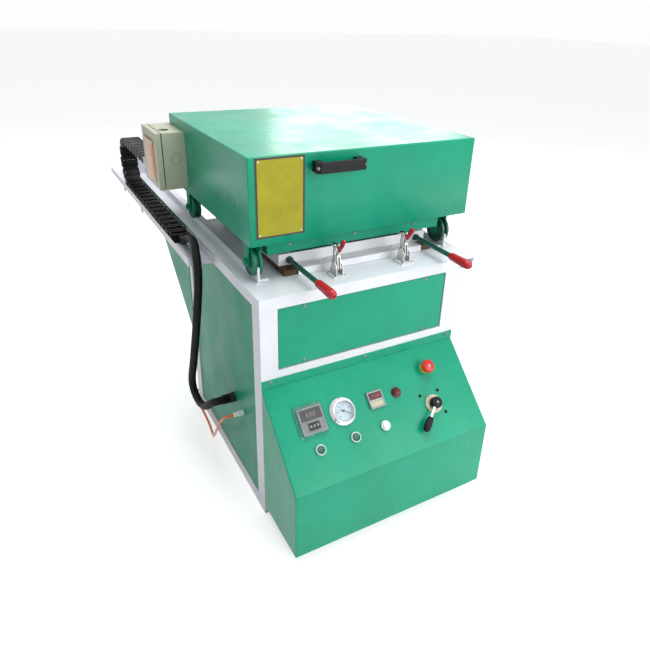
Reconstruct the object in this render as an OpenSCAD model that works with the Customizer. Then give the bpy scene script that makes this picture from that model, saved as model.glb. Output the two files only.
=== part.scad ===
// Hobby vacuum forming machine: welded tube cabinet, sloping console, clamp frame with
// toggle clamps, and a heater hood that rolls back on two rails.
// Millimetres, Z up, Y to the back. The origin is under the middle of the front foot rail.

/* [Cabinet] */
// Width over the corner posts
cab_w = 643; // [600:1:700]
// Depth from the front posts' face to the rear posts' face
cab_d = 650; // [620:1:700]
// Height of the welded frame, up to the underside of the table plate
cab_h = 711; // [690:1:740]
// Outside size of the square post tube
tube = 50; // [46:1:54]
// Wall of the tubes
tube_t = 2; // [1.5:0.5:3]
// Height of the flat rails round the top
top_rail_h = 30; // [26:1:34]
// Height of the foot rails
foot_rail_h = 40; // [34:1:46]
// Top of the front cross rail that carries the console
mid_rail_top = 497; // [480:1:510]
// Height of that cross rail
mid_rail_h = 50; // [44:1:54]
// Thickness of the sheet panels
panel_t = 2; // [1.5:0.5:3]
// Gap round each panel
panel_gap = 3; // [2:0.5:5]
// How far the panels sit behind the tubes' faces
panel_inset = 3; // [2:1:6]
// Fit-up gap left for the welds between two tubes or plates
weld = 0.1; // [0.05:0.05:0.2]

/* [Table] */
// Thickness of the table plate
table_t = 3; // [2:1:5]
// How far the table overhangs the right-hand posts
table_over = 55; // [50:1:60]
// Width of the forming opening
aper_w = 380; // [340:2:400]
// Depth of the forming opening
aper_d = 380; // [340:2:390]
// Depth of the vacuum box below the table
vac_box_h = 190; // [170:5:220]
// Wall of the vacuum box
vac_box_t = 4; // [3:1:6]
// Width of the seal strip round the opening
seal_w = 30; // [24:1:34]
// Height of the seal strip
seal_h = 16; // [12:1:18]

/* [Upper centre line] */
// Sideways place of the hood, the track and the clamp frame
upper_x = 43; // [38:1:48]

/* [Track] */
// Middle of the track and the hood's skirt, across the cabinet, mm
track_x = 28; // [24:1:32]
// Half the distance between the rails
track_half = 308; // [304:1:312]
// Thickness of the rail angle
rail_t = 5; // [4:0.5:6]
// Height of the rail's upright leg
rail_h = 18; // [16:1:20]
// Width of the rail's foot
rail_foot = 34; // [30:1:38]
// Start of the rails behind the front face
rail_start = 106; // [100:1:108]
// How far the track runs on behind the cabinet
track_ext = 725; // [715:5:760]
// Height of the front stops
stop_h = 44; // [36:1:46]
// Height of the rear end plates
end_plate_h = 104; // [80:2:106]

/* [Hood] */
// Width of the hood
hood_w = 700; // [690:2:706]
// Depth of the hood
hood_d = 697; // [690:1:704]
// Height of the hood's outer shell
hood_h = 226; // [200:2:250]
// Front of the hood behind the frame's front face
hood_y = 84; // [80:1:88]
// Height of the hood's lower edge above the table
hood_lift = 108; // [106:1:112]
// Thickness of the hood's sheet
hood_t = 2; // [1.5:0.5:3]
// How far the skirt reaches below the shell
skirt_drop = 38; // [34:1:40]
// Width of the plain plate on the hood's front, mm
placard_w = 134; // [120:1:140]
// Height of that plate, mm
placard_h = 204; // [180:1:204]
// Setback of the skirt behind the shell's front
skirt_back = 25; // [22:1:28]

/* [Wheels] */
// Outer radius of the grooved wheels
wheel_r = 40; // [38:1:42]
// Depth of the groove
groove_depth = 8; // [6:1:9]
// Width of the groove
groove_w = 8; // [7:0.5:9]
// Width of a wheel
wheel_w = 26; // [22:1:28]
// Radius of the axle bolts
axle_r = 6; // [5:0.5:8]
// Front axle behind the frame's front face
axle_y_front = 138; // [137:1:140]
// Distance between the front and rear axles
axle_spacing = 522; // [500:2:540]
// Thickness of the fork plates
fork_t = 4; // [3:0.5:4]
// Running clearance of shafts in their bores
run_fit = 0.05; // [0.03:0.01:0.08]

/* [Clamp frame] */
// Width over the clamp frame's side bars
clamp_w = 492; // [486:2:500]
// Front of the side bars behind the frame's front face
clamp_y = 145; // [142:1:148]
// Length of the side bars
clamp_d = 450; // [440:2:456]
// Width of the side bars
clamp_bar_w = 40; // [36:1:44]
// Height of the clamp frame
clamp_bar_h = 33; // [30:1:34]
// Reach of the front flange
flange_reach = 44; // [40:1:46]
// Thickness of the angle iron
angle_t = 4; // [3:0.5:5]
// Hinge axis behind the side bars' ends
hinge_back = 22; // [20:1:24]
// Hinge pin radius
hinge_pin_r = 5; // [4:0.5:6]
// Distance between the lifting rods
rod_spacing = 428; // [424:1:434]
// Radius of a lifting rod
rod_r = 7; // [6:0.5:8]
// Length of a lifting rod in front of the clamp frame
rod_len = 172; // [150:2:190]
// Length of a lifting grip
grip_len = 84; // [76:1:96]
// Largest radius of a lifting grip
grip_r = 13; // [12:0.5:14]

/* [Toggle clamps] */
// Distance between the two toggle clamps
toggle_spacing = 222; // [210:2:230]
// Pivot behind the frame's front face
toggle_y = 64; // [60:1:65]
// Pivot height above the table
toggle_pivot_h = 38; // [36:0.5:39]
// Length of the arm
toggle_arm = 45; // [42:0.5:45.5]
// Pivot pin radius
toggle_pin_r = 2; // [1.5:0.25:2.25]
// Length of the toggle handle
toggle_handle = 66; // [60:1:72]

/* [Console] */
// Depth of the console in front of the frame
con_d = 210; // [190:2:230]
// Top of the console's lip
con_top = 474; // [464:1:480]
// Height of the lip
lip_h = 25.6; // [20:0.2:30]
// Height of the bend between slope and front
con_knee = 248; // [230:2:260]
// Clearance under the console
con_low = 31; // [24:1:40]
// Thickness of the console's sheet
con_t = 2; // [1.5:0.5:3]

/* [Instruments] */
// Square face of the temperature controller
ctrl_face = 72; // [68:1:76]
// Square face of the timer
timer_face = 48; // [44:1:52]
// Radius of the vacuum gauge's flange
gauge_r = 39; // [36:1:42]
// Radius of the push buttons' bezels
bezel_r = 15; // [13:0.5:16]
// Radius of the push buttons' caps
button_r = 11; // [9:0.5:11.5]
// Radius of the emergency stop head
estop_r = 20; // [17:0.5:21]
// Radius of the hand valve's base disc
valve_r = 27; // [24:1:30]
// Travel of the push buttons
press = 4; // [3:0.5:5]

/* [Switch box on the hood] */
// Depth of the box, from the hood outwards
jbox_x = 88; // [80:1:92]
// Length of the box along the hood
jbox_y = 182; // [170:2:190]
// Height of the box
jbox_z = 175; // [160:1:178]
// Thickness of its walls
jbox_t = 3; // [2:0.5:4]
// Thickness of its cover
jbox_cover_t = 16; // [12:1:20]
// Radius of the open cable gland hole in its top
jbox_hole_r = 16.25; // [12.75:0.25:18]

/* [Cable chain] */
// Pitch of the chain's links
link_pitch = 48; // [46:1:50]
// Width of the chain
link_w = 62; // [58:1:64]
// Height of a link
link_h = 25; // [23:1:27]
// Links in the bend
bend_links = 6;
// Links lying in the tray
lower_links = 13;
// Links in the upper run
upper_links = 7;
// Width of the cable tray
tray_w = 75; // [74:1:78]
// Height of the tray's flanges
tray_h = 22; // [18:1:26]
// Length of the cable tray
tray_len = 1200; // [1150:10:1220]

/* [Hidden] */
$fn = 48;

// The frame's faces
front = -tube / 2;
back = front + cab_d;
right = cab_w / 2;
table_z = cab_h + table_t;
sink = 0.01;

// The upper assembly
rail_x = [track_x - track_half, track_x + track_half];
axle_z = table_z + rail_h + wheel_r - groove_depth + 0.3;
hood_z = table_z + hood_lift;
hood_front = front + hood_y;
hood_left = upper_x - hood_w / 2;
axle_y = [front + axle_y_front, front + axle_y_front + axle_spacing];
fork_gap = 2;
fork_half = 15;
skirt_gap = 10;
skirt_half = track_half - wheel_w / 2 - fork_gap - fork_t - skirt_gap;
track_back = back + track_ext;

// The forming opening and the clamp frame
clamp_front = front + clamp_y;
seal_top = table_z + seal_h;
aper_y = clamp_front + (clamp_d - aper_d) / 2;
hinge_y = clamp_front + clamp_d + hinge_back;
hinge_z = seal_top + clamp_bar_h / 2;
barrel_r = hinge_pin_r + 4;
barrel_len = 40;
hinge_half = clamp_w / 2 - 70;

// The console's slope: v runs down it from the lip, and on_slope stands a piece on it
slope_top = con_top - lip_h;
slope_angle = 90 - atan2(con_d, slope_top - con_knee);
slope_len = norm([con_d, slope_top - con_knee]);

// Cable chain and tray on the cabinet's left
chain_x = -right - 40;
tray_x = -right - tray_w;
tray_z = cab_h - 28;
tray_y = front + 350;
chain_z = tray_z + panel_t + 3 + link_h / 2;
bend_r = link_pitch / 2 / tan(90 / bend_links);
bend_pin_r = link_pitch / 2 / sin(90 / bend_links);
bend_y = tray_y + 218 + lower_links * link_pitch;
bend_z = chain_z + bend_pin_r;
chain_top = bend_z + bend_pin_r;

// Toggle clamp geometry, from the arm's pivot in the open position: [back, up]
knee_pin = [-1.7, 18.7];
base_pin = [-15.37, -15.3];
link_pin = [-9.08, 17.08];
handle_lean = 35;
link_play = 0.65;
spindle_len = toggle_pivot_h - seal_h - angle_t - 0.3;

// Routes of the free cords, chosen by hand
hose_r = 12.5;
hose_path = [[-361, 522.4, 700.5], [-361, 515, 700.5], [-361, 507, 700.8], [-360, 488, 706],
    [-359, 464, 717], [-358, 435, 729], [-360, 400, 736], [-364, 365, 735], [-369, 338, 723],
    [-374, 312, 698], [-379, 296, 655], [-386, 292, 596], [-393, 302, 512], [-398, 326, 420],
    [-401, 352, 340], [-402, 379, 280], [-402, 386, 240], [-400, 372, 210], [-397, 335, 198],
    [-394, 295, 208], [-391, 262, 230], [-387, 236, 254], [-380, 219, 268], [-371, 213, 272],
    [-365, 213, 272], [-359, 213, 272]];
tube_r = 4;
air_path = [[-349, 140, 262], [-353, 140, 262], [-357, 140, 262], [-367, 144, 259], [-375, 154, 248],
    [-379, 170, 228], [-380, 192, 200], [-379, 222, 160], [-375, 257, 118], [-369, 294, 78],
    [-361, 332, 45], [-352, 372, 22], [-345, 412, 10.5], [-340, 452, 6], [-337, 500, 4.6],
    [-336, 555, 4.3], [-335, 605, 4.3], [-331, 640, 4.3], [-314, 664, 4.3], [-282, 674, 4.3],
    [-240, 677, 4.3], [-205, 678, 4.3], [-175, 678, 4.3]];
coil_centre = [-160, 735];
coil_mid_r = 44;
coil_half = 8;

// Small shared forms

module box(x, y, z, w, d, h) { translate([x, y, z]) cube([w, d, h]); }

// The walls of an open box of sheet t, as separate plates. Sides are named by axis: x0 is the low X one
module plates(at, size, t, sides) {
    x_in = t + weld;
    for (side_name = sides) {
        if (side_name == "x0") box(at[0], at[1], at[2], t, size[1], size[2]);
        if (side_name == "x1") box(at[0] + size[0] - t, at[1], at[2], t, size[1], size[2]);
        if (side_name == "y0") box(at[0] + x_in, at[1], at[2], size[0] - 2 * x_in, t, size[2]);
        if (side_name == "y1") box(at[0] + x_in, at[1] + size[1] - t, at[2], size[0] - 2 * x_in, t, size[2]);
        if (side_name == "z0") box(at[0] + x_in, at[1] + x_in, at[2], size[0] - 2 * x_in, size[1] - 2 * x_in, t);
        if (side_name == "z1")
            box(at[0] + x_in, at[1] + x_in, at[2] + size[2] - t, size[0] - 2 * x_in, size[1] - 2 * x_in, t);
    }
}

// Four flat bars round an opening, as separate pieces: outer size, bar widths and height
module bar_ring(x, y, z, w, d, side_w, end_w, h) {
    for (e = [0, w - side_w]) box(x + e, y, z, side_w, d, h);
    for (e = [0, d - end_w]) box(x + side_w + weld, y + e, z, w - 2 * side_w - 2 * weld, end_w, h);
}

// A rectangular tube of wall tube_t, along axis 0 (X), 1 (Y) or 2 (Z)
module box_tube(x, y, z, w, d, h, axis) {
    size = [w, d, h];
    inner = [for (i = [0:2]) i == axis ? size[i] + 2 : size[i] - 2 * tube_t];
    shift = [for (i = [0:2]) i == axis ? -1 : tube_t];
    translate([x, y, z]) difference() {
        cube(size);
        translate(shift) cube(inner);
    }
}

// A rod along Y, from y0 to y1
module rod_y(x, y0, y1, z, r) { translate([x, y0, z]) rotate([-90, 0, 0]) cylinder(h = y1 - y0, r = r); }

// A rod along X, from x0 to x1
module rod_x(x0, x1, y, z, r) { translate([x0, y, z]) rotate([0, 90, 0]) cylinder(h = x1 - x0, r = r); }

// A flat plate of thickness t between two pin centres [y, z], standing in the YZ plane at x
module bar_plate(x, t, a, b, r) {
    length = norm(b - a);
    angle = atan2(b[1] - a[1], b[0] - a[0]);
    translate([x, a[0], a[1]]) rotate([angle, 0, 0]) rotate([90, 0, 90]) linear_extrude(t) {
        translate([0, -r]) square([length, 2 * r]);
        circle(r);
        translate([length, 0]) circle(r);
    }
}

// Puts a piece on the console's slope, u from the left edge and v down from the lip
module on_slope(u, v) {
    translate([-right + u, front - v * sin(90 - slope_angle), slope_top - v * cos(90 - slope_angle)])
        rotate([slope_angle, 0, 0]) children();
}

// A round tube swept along a list of points
function unit(v) = v / norm(v);
function along(path, i) = unit(path[min(i + 1, len(path) - 1)] - path[max(i - 1, 0)]);
function side(t) = unit(cross(t, abs(t[2]) > 0.9 ? [1, 0, 0] : [0, 0, 1]));
function ring(c, t, r, n) = [for (k = [0:n - 1]) c + r * (cos(360 * k / n) * side(t) + sin(360 * k / n) * cross(side(t), t))];
// Catmull-Rom points between path[i] and path[i + 1]
function soft(path, i, f) = let (a = path[max(i - 1, 0)], b = path[i], c = path[i + 1],
    d = path[min(i + 2, len(path) - 1)])
    b + 0.5 * f * (c - a + f * (2 * a - 5 * b + 4 * c - d + f * (3 * (b - c) + d - a)));
function finer(path, steps) = [for (i = [0:len(path) - 2]) for (k = [0:steps - 1]) soft(path, i, k / steps), path[len(path) - 1]];
module swept(path, r, n) {
    rings = [for (i = [0:len(path) - 1]) each ring(path[i], along(path, i), r, n)];
    last = len(path) - 1;
    faces = concat([[for (k = [0:n - 1]) k]], [[for (k = [n - 1:-1:0]) last * n + k]],
        [for (i = [0:last - 1]) for (k = [0:n - 1])
            [i * n + k, (i + 1) * n + k, (i + 1) * n + (k + 1) % n, i * n + (k + 1) % n]]);
    polyhedron(points = rings, faces = faces, convexity = 8);
}

// Cabinet

module base_frame() color("whitesmoke") {
    long_y = cab_d - 2 * tube - 2 * weld;
    long_x = cab_w - 2 * tube - 2 * weld;
    rails = [[cab_h - top_rail_h, top_rail_h], [0, foot_rail_h]];
    for (x = [-right, right - tube], y = [front, back - tube])
        box_tube(x, y, 0, tube, tube, cab_h, 2);
    for (rail = rails) {
        for (x = [-right, right - tube]) box_tube(x, front + tube + weld, rail[0], tube, long_y, rail[1], 1);
        for (y = [front, back - tube]) box_tube(tube + weld - right, y, rail[0], long_x, tube, rail[1], 0);
    }
    box_tube(tube + weld - right, front, mid_rail_top - mid_rail_h, long_x, tube, mid_rail_h, 0);
    box(tube + weld - right, front + tube + weld, foot_rail_h - panel_t, long_x, long_y, panel_t);
}

module rear_extension() color("whitesmoke") {
    beam_z = cab_h - top_rail_h;
    box_tube(-right, back + weld, beam_z, tube, track_ext - weld, top_rail_h, 1);
    box_tube(right + weld, front, beam_z, tube, cab_d + track_ext, top_rail_h, 1);
    box_tube(tube + weld - right, track_back - tube, beam_z, cab_w - tube - weld, tube, top_rail_h, 0);
}

// A folded sheet with its edges turned inwards, standing in the XZ plane
module side_gussets() {
    low = 311;
    reach = 457;
    strip = 640;
    post_lap = 20;
    rail_low = cab_h - top_rail_h;
    translate([-right - panel_t, back, 0]) rotate([90, 0, 90]) linear_extrude(panel_t)
        polygon([[-post_lap, low], [-post_lap, cab_h], [strip, cab_h], [strip, rail_low], [reach, rail_low], [0, low]]);
    translate([right - panel_t, back, 0]) rotate([90, 0, 90]) linear_extrude(panel_t)
        polygon([[0, low], [0, rail_low], [reach, rail_low]]);
}

module side_panels() color("seagreen") {
    side_gussets();
    y0 = front + tube + panel_gap;
    d = cab_d - 2 * tube - 2 * panel_gap;
    z0 = foot_rail_h + panel_gap;
    h = cab_h - top_rail_h - foot_rail_h - 2 * panel_gap;
    chamfer = 12;
    lug = 8;
    for (s = [-1, 1]) translate([s * (right - panel_inset) - (s > 0 ? panel_t : 0), y0, z0]) {
        rotate([90, 0, 90]) linear_extrude(panel_t)
            polygon([[0, 0], [d, 0], [d, h - chamfer], [d - chamfer, h], [chamfer, h], [0, h - chamfer]]);
        for (y = [-panel_gap, d - lug], z = [0.2, 0.75] * h)
            translate([s < 0 ? panel_t : -panel_t, y, z]) cube([panel_t, lug + panel_gap, 3 * lug]);
    }
}

module front_panel() color("mediumseagreen")
    flat_panel(mid_rail_top + panel_gap, cab_h - top_rail_h - mid_rail_top - 2 * panel_gap, front + panel_inset, 1);

// A panel between two posts, with four lugs behind it that meet the posts. out is 1 where it faces the front
module flat_panel(z0, h, y0, out) {
    x0 = tube - right + panel_gap;
    w = cab_w - 2 * tube - 2 * panel_gap;
    lug = 8;
    box(x0, y0, z0, w, panel_t, h);
    for (x = [x0 - panel_gap, x0 + w - lug], z = [0.15, 0.7] * h)
        box(x, y0 + out * panel_t, z0 + z, lug + panel_gap, panel_t, 3 * lug);
}

module rear_panel() color("mediumseagreen")
    flat_panel(foot_rail_h + panel_gap, cab_h - top_rail_h - foot_rail_h - 2 * panel_gap,
        back - panel_inset - panel_t, -1);

// Console

module console_profile(inset) {
    offset_d = inset / sin(45);
    polygon([[-inset, con_low + inset], [-inset, slope_top - inset * 1.4],
        [-con_d + inset, con_knee - inset * 0.4], [-con_d + inset, con_low + inset]]);
}

module console_housing() color("mediumseagreen") {
    difference() {
        translate([-right, front, 0]) rotate([90, 0, 90]) linear_extrude(cab_w) console_profile(0);
        translate([-right + con_t, front, 0]) rotate([90, 0, 90])
            linear_extrude(cab_w - 2 * con_t) console_profile(con_t);
        on_slope(ctrl_u, ctrl_v) translate([0, 0, -con_t - 3])
            linear_extrude(con_t + 6) square(ctrl_face - 4, center = true);
        on_slope(timer_u, timer_v) translate([0, 0, -con_t - 3])
            linear_extrude(con_t + 6) square(timer_face - 3, center = true);
    }
    box(-right, front - con_t, slope_top + weld, cab_w, con_t, lip_h - weld);
}

// Places on the console's slope: u from its left edge, v down from the lip
ctrl_u = 108;
ctrl_v = 115;
gauge_u = 203;
gauge_v = 118;
timer_u = 312;
timer_v = 115;
lamp_u = 384;
lamp_v = 114;
estop_u = 506;
estop_v = 71;
left_button = [105, 197];
right_button = [214, 196];
white_place = [313, 193];
valve_u = 490;
valve_v = 179;

module temperature_controller() color("dimgray") on_slope(ctrl_u, ctrl_v) {
    bezel = 8;
    depth = 60;
    difference() {
        translate([0, 0, bezel / 2]) cube([ctrl_face, ctrl_face, bezel], center = true);
        translate([0, 0, bezel]) cube([ctrl_face - 8, ctrl_face - 8, 4], center = true);
    }
    translate([0, 0, -depth / 2]) cube([ctrl_face - 5, ctrl_face - 5, depth], center = true);
}

module timer_module() color("dimgray") on_slope(timer_u, timer_v) {
    bezel = 8;
    depth = 60;
    difference() {
        translate([0, 0, bezel / 2]) cube([timer_face, timer_face, bezel], center = true);
        translate([0, 0, bezel]) cube([timer_face - 6, timer_face - 6, 4], center = true);
    }
    translate([0, 0, -depth / 2]) cube([timer_face - 4, timer_face - 4, depth], center = true);
}

gauge_case_h = 14;
gauge_wall = 3;
needle_z = 8;

module gauge_case() color("silver") on_slope(gauge_u, gauge_v) {
    dial_r = gauge_r - 7;
    difference() {
        union() {
            cylinder(h = 3, r = gauge_r);
            cylinder(h = gauge_case_h, r = dial_r);
        }
        translate([0, 0, 4]) cylinder(h = gauge_case_h, r = dial_r - gauge_wall);
    }
    translate([0, 0, 4]) cylinder(h = needle_z - 4 - 0.3, r = 1.2);
}

module gauge_needle() color("black") on_slope(gauge_u, gauge_v) translate([0, 0, needle_z]) {
    reach = gauge_r - 16;
    linear_extrude(0.8) rotate(needle_rest) polygon([[-8, -1.4], [reach, -0.4], [reach, 0.4], [-8, 1.4]]);
    cylinder(h = 2.4, r = 3);
}
needle_rest = -30;

module pilot_lamp() color("maroon") on_slope(lamp_u, lamp_v) {
    cylinder(h = 5, r = bezel_r);
    translate([0, 0, 5]) rotate_extrude() polygon([[0, 0], [11, 0], [11, 5], [8, 8], [0, 9]]);
}

module estop_collar() color("gold") on_slope(estop_u, estop_v) {
    difference() {
        cylinder(h = 14, r1 = 16, r2 = 14.5);
        translate([0, 0, 2]) cylinder(h = 20, r = 8 + run_fit);
    }
}

module estop_button() color("red") on_slope(estop_u, estop_v) {
    stem_top = 14 + press + 0.5;
    translate([0, 0, 2.3 + press]) cylinder(h = stem_top - 2.3 - press, r = 8);
    translate([0, 0, stem_top]) rotate_extrude()
        polygon([[0, 0], [estop_r - 3, 0], [estop_r, 3], [estop_r, 9], [estop_r - 5, 13], [0, 14.5]]);
}

bezel_h = 6;
module button_bezels() color("silver")
    for (p = [left_button, right_button, white_place]) on_slope(p[0], p[1]) difference() {
        cylinder(h = bezel_h, r1 = bezel_r, r2 = bezel_r - 1.5);
        translate([0, 0, 1]) cylinder(h = bezel_h, r = button_r + 0.3);
    }

module button_cap(place) on_slope(place[0], place[1]) translate([0, 0, 1 + press + 0.2])
    rotate_extrude() polygon([[0, 0], [button_r, 0], [button_r, 5], [button_r - 1.5, 6.5], [0, 6.5]]);
module green_button_left() color("green") button_cap(left_button);
module green_button_right() color("green") button_cap(right_button);
module white_button() color("white") button_cap(white_place);

// Hand valve: a disc, a hub that turns on it and an offset rod with a grip
lever_rod_r = 5;
lever_angle = 224;
module valve_plate() color("wheat") on_slope(valve_u, valve_v) {
    cylinder(h = 6, r = valve_r);
    cylinder(h = 18, r = 7);
}

module valve_lever() color("black") on_slope(valve_u, valve_v) {
    reach = 50;
    grip = 46;
    hub_r = 17;
    root_r = 12;
    difference() {
        translate([0, 0, 6.3]) cylinder(h = 22, r = hub_r);
        translate([0, 0, 6]) cylinder(h = 13, r = 7 + run_fit);
    }
    translate([0, 0, 19]) rotate([0, 90, lever_angle]) {
        translate([0, 0, root_r]) cylinder(h = reach - root_r, r = lever_rod_r);
        translate([0, 0, reach]) rotate_extrude() polygon([[0, 0], [8, 0], [10, 8], [11.5, 28], [9, grip - 4],
            [5, grip], [0, grip]]);
    }
}

// Table, forming opening and what lies under it

module table_top() color("white") {
    edge = 12;
    difference() {
        box(-right, front, cab_h, cab_w + table_over, cab_d, table_t);
        box(upper_x - aper_w / 2, aper_y, cab_h - 1, aper_w, aper_d, table_t + 2);
    }
    box(right + table_over - table_t, front, cab_h - edge, table_t, cab_d, edge);
}

module vacuum_box() color("silver") {
    w = aper_w + 2 * vac_box_t;
    d = aper_d + 2 * vac_box_t;
    x0 = upper_x - w / 2;
    y0 = aper_y - vac_box_t;
    z0 = cab_h - vac_box_h;
    plates([x0, y0, z0 + vac_box_t + weld], [w, d, vac_box_h - vac_box_t - weld], vac_box_t, ["x0", "x1", "y0", "y1"]);
    difference() {
        box(x0, y0, z0, w, d, vac_box_t);
        translate([upper_x, aper_y + aper_d / 2, z0 - 1]) cylinder(h = vac_box_t + 2, r = ram_r + run_fit);
    }
}

ram_r = 10;
platen_t = 12;
platen_gap = 6;
platen_low = vac_box_h - vac_box_t - 16;
cylinder_r = 32;
cylinder_len = 215;

module mould_platen() color("lightgray") {
    z0 = cab_h - platen_low;
    difference() {
        box(upper_x - aper_w / 2 + platen_gap, aper_y + platen_gap, z0,
            aper_w - 2 * platen_gap, aper_d - 2 * platen_gap, platen_t);
        for (i = [-2:2], j = [-2:2])
            translate([upper_x + i * aper_w / 6, aper_y + aper_d / 2 + j * aper_d / 6, z0 - 1])
                cylinder(h = platen_t + 2, r = 3);
    }
    translate([upper_x, aper_y + aper_d / 2, cab_h - vac_box_h - cylinder_len + 20])
        cylinder(h = vac_box_h + cylinder_len - 20 - platen_low, r = ram_r);
}

module lift_cylinder() color("gainsboro") {
    top = cab_h - vac_box_h;
    translate([upper_x, aper_y + aper_d / 2, top - cylinder_len]) difference() {
        union() {
            cylinder(h = cylinder_len, r = cylinder_r);
            for (z = [0, cylinder_len - 22]) translate([0, 0, z + 11])
                cube([2 * cylinder_r + 10, 2 * cylinder_r + 10, 22], center = true);
        }
        translate([0, 0, 10]) cylinder(h = cylinder_len, r = ram_r + run_fit);
    }
}

pump_at = [-120, 140];
pump_foot = [180, 120, 12];
pump_body = [62, 170];
pump_head = [48, 60];
module vacuum_pump() color("slategray") {
    axis_z = pump_foot[2] + pump_body[0] + 2;
    saddle = [24, 90];
    translate([upper_x + pump_at[0], aper_y + pump_at[1], foot_rail_h]) {
        translate([-pump_foot[0] / 2, -pump_foot[1] / 2, 0]) cube(pump_foot);
        for (x = [-80, 20]) translate([x, -saddle[1] / 2, 0]) cube([saddle[0], saddle[1], axis_z - pump_body[0] / 2]);
        translate([-110, 0, axis_z]) rotate([0, 90, 0]) cylinder(h = pump_body[1], r = pump_body[0]);
        translate([60, 0, axis_z]) rotate([0, 90, 0]) cylinder(h = pump_head[1], r = pump_head[0]);
        translate([90, 0, axis_z]) cylinder(h = 80, r = 14);
    }
}

// Four strips with butt joints round the opening, under the clamp frame
module seal_strip() color("saddlebrown") {
    y0 = clamp_front - flange_reach + 6;
    bar_ring(upper_x - clamp_w / 2, y0, table_z, clamp_w, clamp_front + clamp_d - y0, seal_w, seal_w, seal_h);
}

module clamp_hinges() color("gainsboro") {
    ear_t = 6;
    for (s = [-1, 1]) {
        cx = upper_x + s * hinge_half;
        for (e = [-1, 1]) translate([cx + e * (barrel_len / 2 + 0.5 + ear_t / 2) - ear_t / 2, 0, 0]) {
            box(0, hinge_y - barrel_r, table_z, ear_t, 2 * barrel_r, hinge_z - table_z);
            rod_x(0, ear_t, hinge_y, hinge_z, barrel_r);
        }
        rod_x(cx - barrel_len / 2 - 0.5, cx + barrel_len / 2 + 0.5, hinge_y, hinge_z, hinge_pin_r);
    }
}

// Clamp frame and its lifting handles

module clamp_frame() color("white") {
    x0 = upper_x - clamp_w / 2;
    inner_x = x0 + clamp_bar_w + weld;
    inner_w = clamp_w - 2 * clamp_bar_w - 2 * weld;
    end_y = clamp_front + clamp_d;
    slot = [12, 9];
    lip_gap = 1;
    for (x = [x0, x0 + clamp_w - clamp_bar_w])
        box(x, clamp_front, seal_top, clamp_bar_w, clamp_d, clamp_bar_h);
    box(inner_x, end_y - clamp_bar_w, seal_top, inner_w, clamp_bar_w, clamp_bar_h);
    box(inner_x, clamp_front, seal_top + angle_t + weld, inner_w, angle_t, clamp_bar_h - angle_t - weld);
    box(inner_x, clamp_front - flange_reach, table_z + lip_gap, inner_w, angle_t, seal_h - lip_gap - weld);
    difference() {
        box(inner_x, clamp_front - flange_reach, seal_top, inner_w, flange_reach + angle_t, angle_t);
        for (s = [-1, 1]) translate([upper_x + s * toggle_spacing / 2, clamp_front - 10, seal_top - 1])
            linear_extrude(angle_t + 2) {
                square(slot, center = true);
                for (e = [-1, 1]) translate([e * slot[0] / 2, 0]) circle(slot[1] / 2);
            }
    }
    for (s = [-1, 1]) translate([upper_x + s * hinge_half, 0, 0]) difference() {
        union() {
            rod_x(-barrel_len / 2, barrel_len / 2, hinge_y, hinge_z, barrel_r);
            box(-barrel_len / 2, end_y, hinge_z - hinge_pin_r, barrel_len, hinge_back, 2 * hinge_pin_r);
        }
        rod_x(-barrel_len, barrel_len, hinge_y, hinge_z, hinge_pin_r + run_fit);
    }
}

rod_z = seal_top + 15;
module lift_rods() color("darkgreen")
    for (s = [-1, 1]) {
        x = upper_x + s * rod_spacing / 2;
        rod_y(x, clamp_front - rod_len - 20, clamp_front, rod_z, rod_r);
        rod_y(x, clamp_front - 8, clamp_front - sink, rod_z, rod_r + 3);
    }

module lift_grips() color("crimson")
    for (s = [-1, 1]) translate([upper_x + s * rod_spacing / 2, clamp_front - rod_len, rod_z])
        rotate([90, 0, 0]) difference() {
            rotate_extrude() polygon([[0, 0], [grip_r - 3, 0], [grip_r - 1, 6], [grip_r - 1, 20],
                [grip_r, grip_len * 0.7], [grip_r - 1, grip_len - 6], [grip_r - 5, grip_len], [0, grip_len]]);
            translate([0, 0, -1]) cylinder(h = 21, r = rod_r);
        }

// Toggle clamps: s is -1 for the left and 1 for the right one

handle_t = 5;
link_x = 3;
link_t = 2;
arm_x = 5.5;
arm_t = 2.5;
cheek_x = 8.5;
cheek_t = 2.5;
pivot_z = table_z + toggle_pivot_h;
pivot_y = front + toggle_y;

module at_toggle(s) translate([upper_x + s * toggle_spacing / 2, pivot_y, pivot_z]) children();

module pin_stub(x, length, place) translate([x, place[0], place[1]]) rotate([0, 90, 0])
    cylinder(h = length, r = toggle_pin_r);

module toggle_bases() color("silver")
    for (s = [-1, 1]) at_toggle(s) {
        foot_w = 44;
        foot_d = 50;
        foot_t = 3;
        low = foot_t - toggle_pivot_h;
        translate([-foot_w / 2, -foot_d / 2 - 4, -toggle_pivot_h]) cube([foot_w, foot_d, foot_t]);
        for (m = [0, 1]) mirror([m, 0, 0]) {
            translate([cheek_x, 0, 0]) rotate([90, 0, 90]) linear_extrude(cheek_t)
                polygon([[-23, low], [17, low], [9, -6], [6, 4], [-5, 6], [-21, -9]]);
            pin_stub(arm_x, cheek_x - arm_x, [0, 0]);
            pin_stub(link_x, cheek_x - link_x, base_pin);
        }
    }

module toggle_arm_body(s) color("silver") at_toggle(s) {
    block = 9;
    tip_r = 5.5;
    for (m = [0, 1]) mirror([m, 0, 0]) difference() {
        bar_plate(arm_x, arm_t, [0, 0], [0, toggle_arm], 6);
        translate([arm_x - 1, 0, 0]) rotate([0, 90, 0]) cylinder(h = arm_t + 2, r = toggle_pin_r + run_fit);
    }
    translate([-arm_x, -block / 2, toggle_arm - block / 2]) cube([2 * arm_x, block, block]);
    pin_stub(-arm_x, 2 * arm_x, knee_pin);
    rod_y(0, -9, spindle_len - 7, toggle_arm, 4);
    rod_y(0, spindle_len - 7, spindle_len, toggle_arm, tip_r);
}

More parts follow.
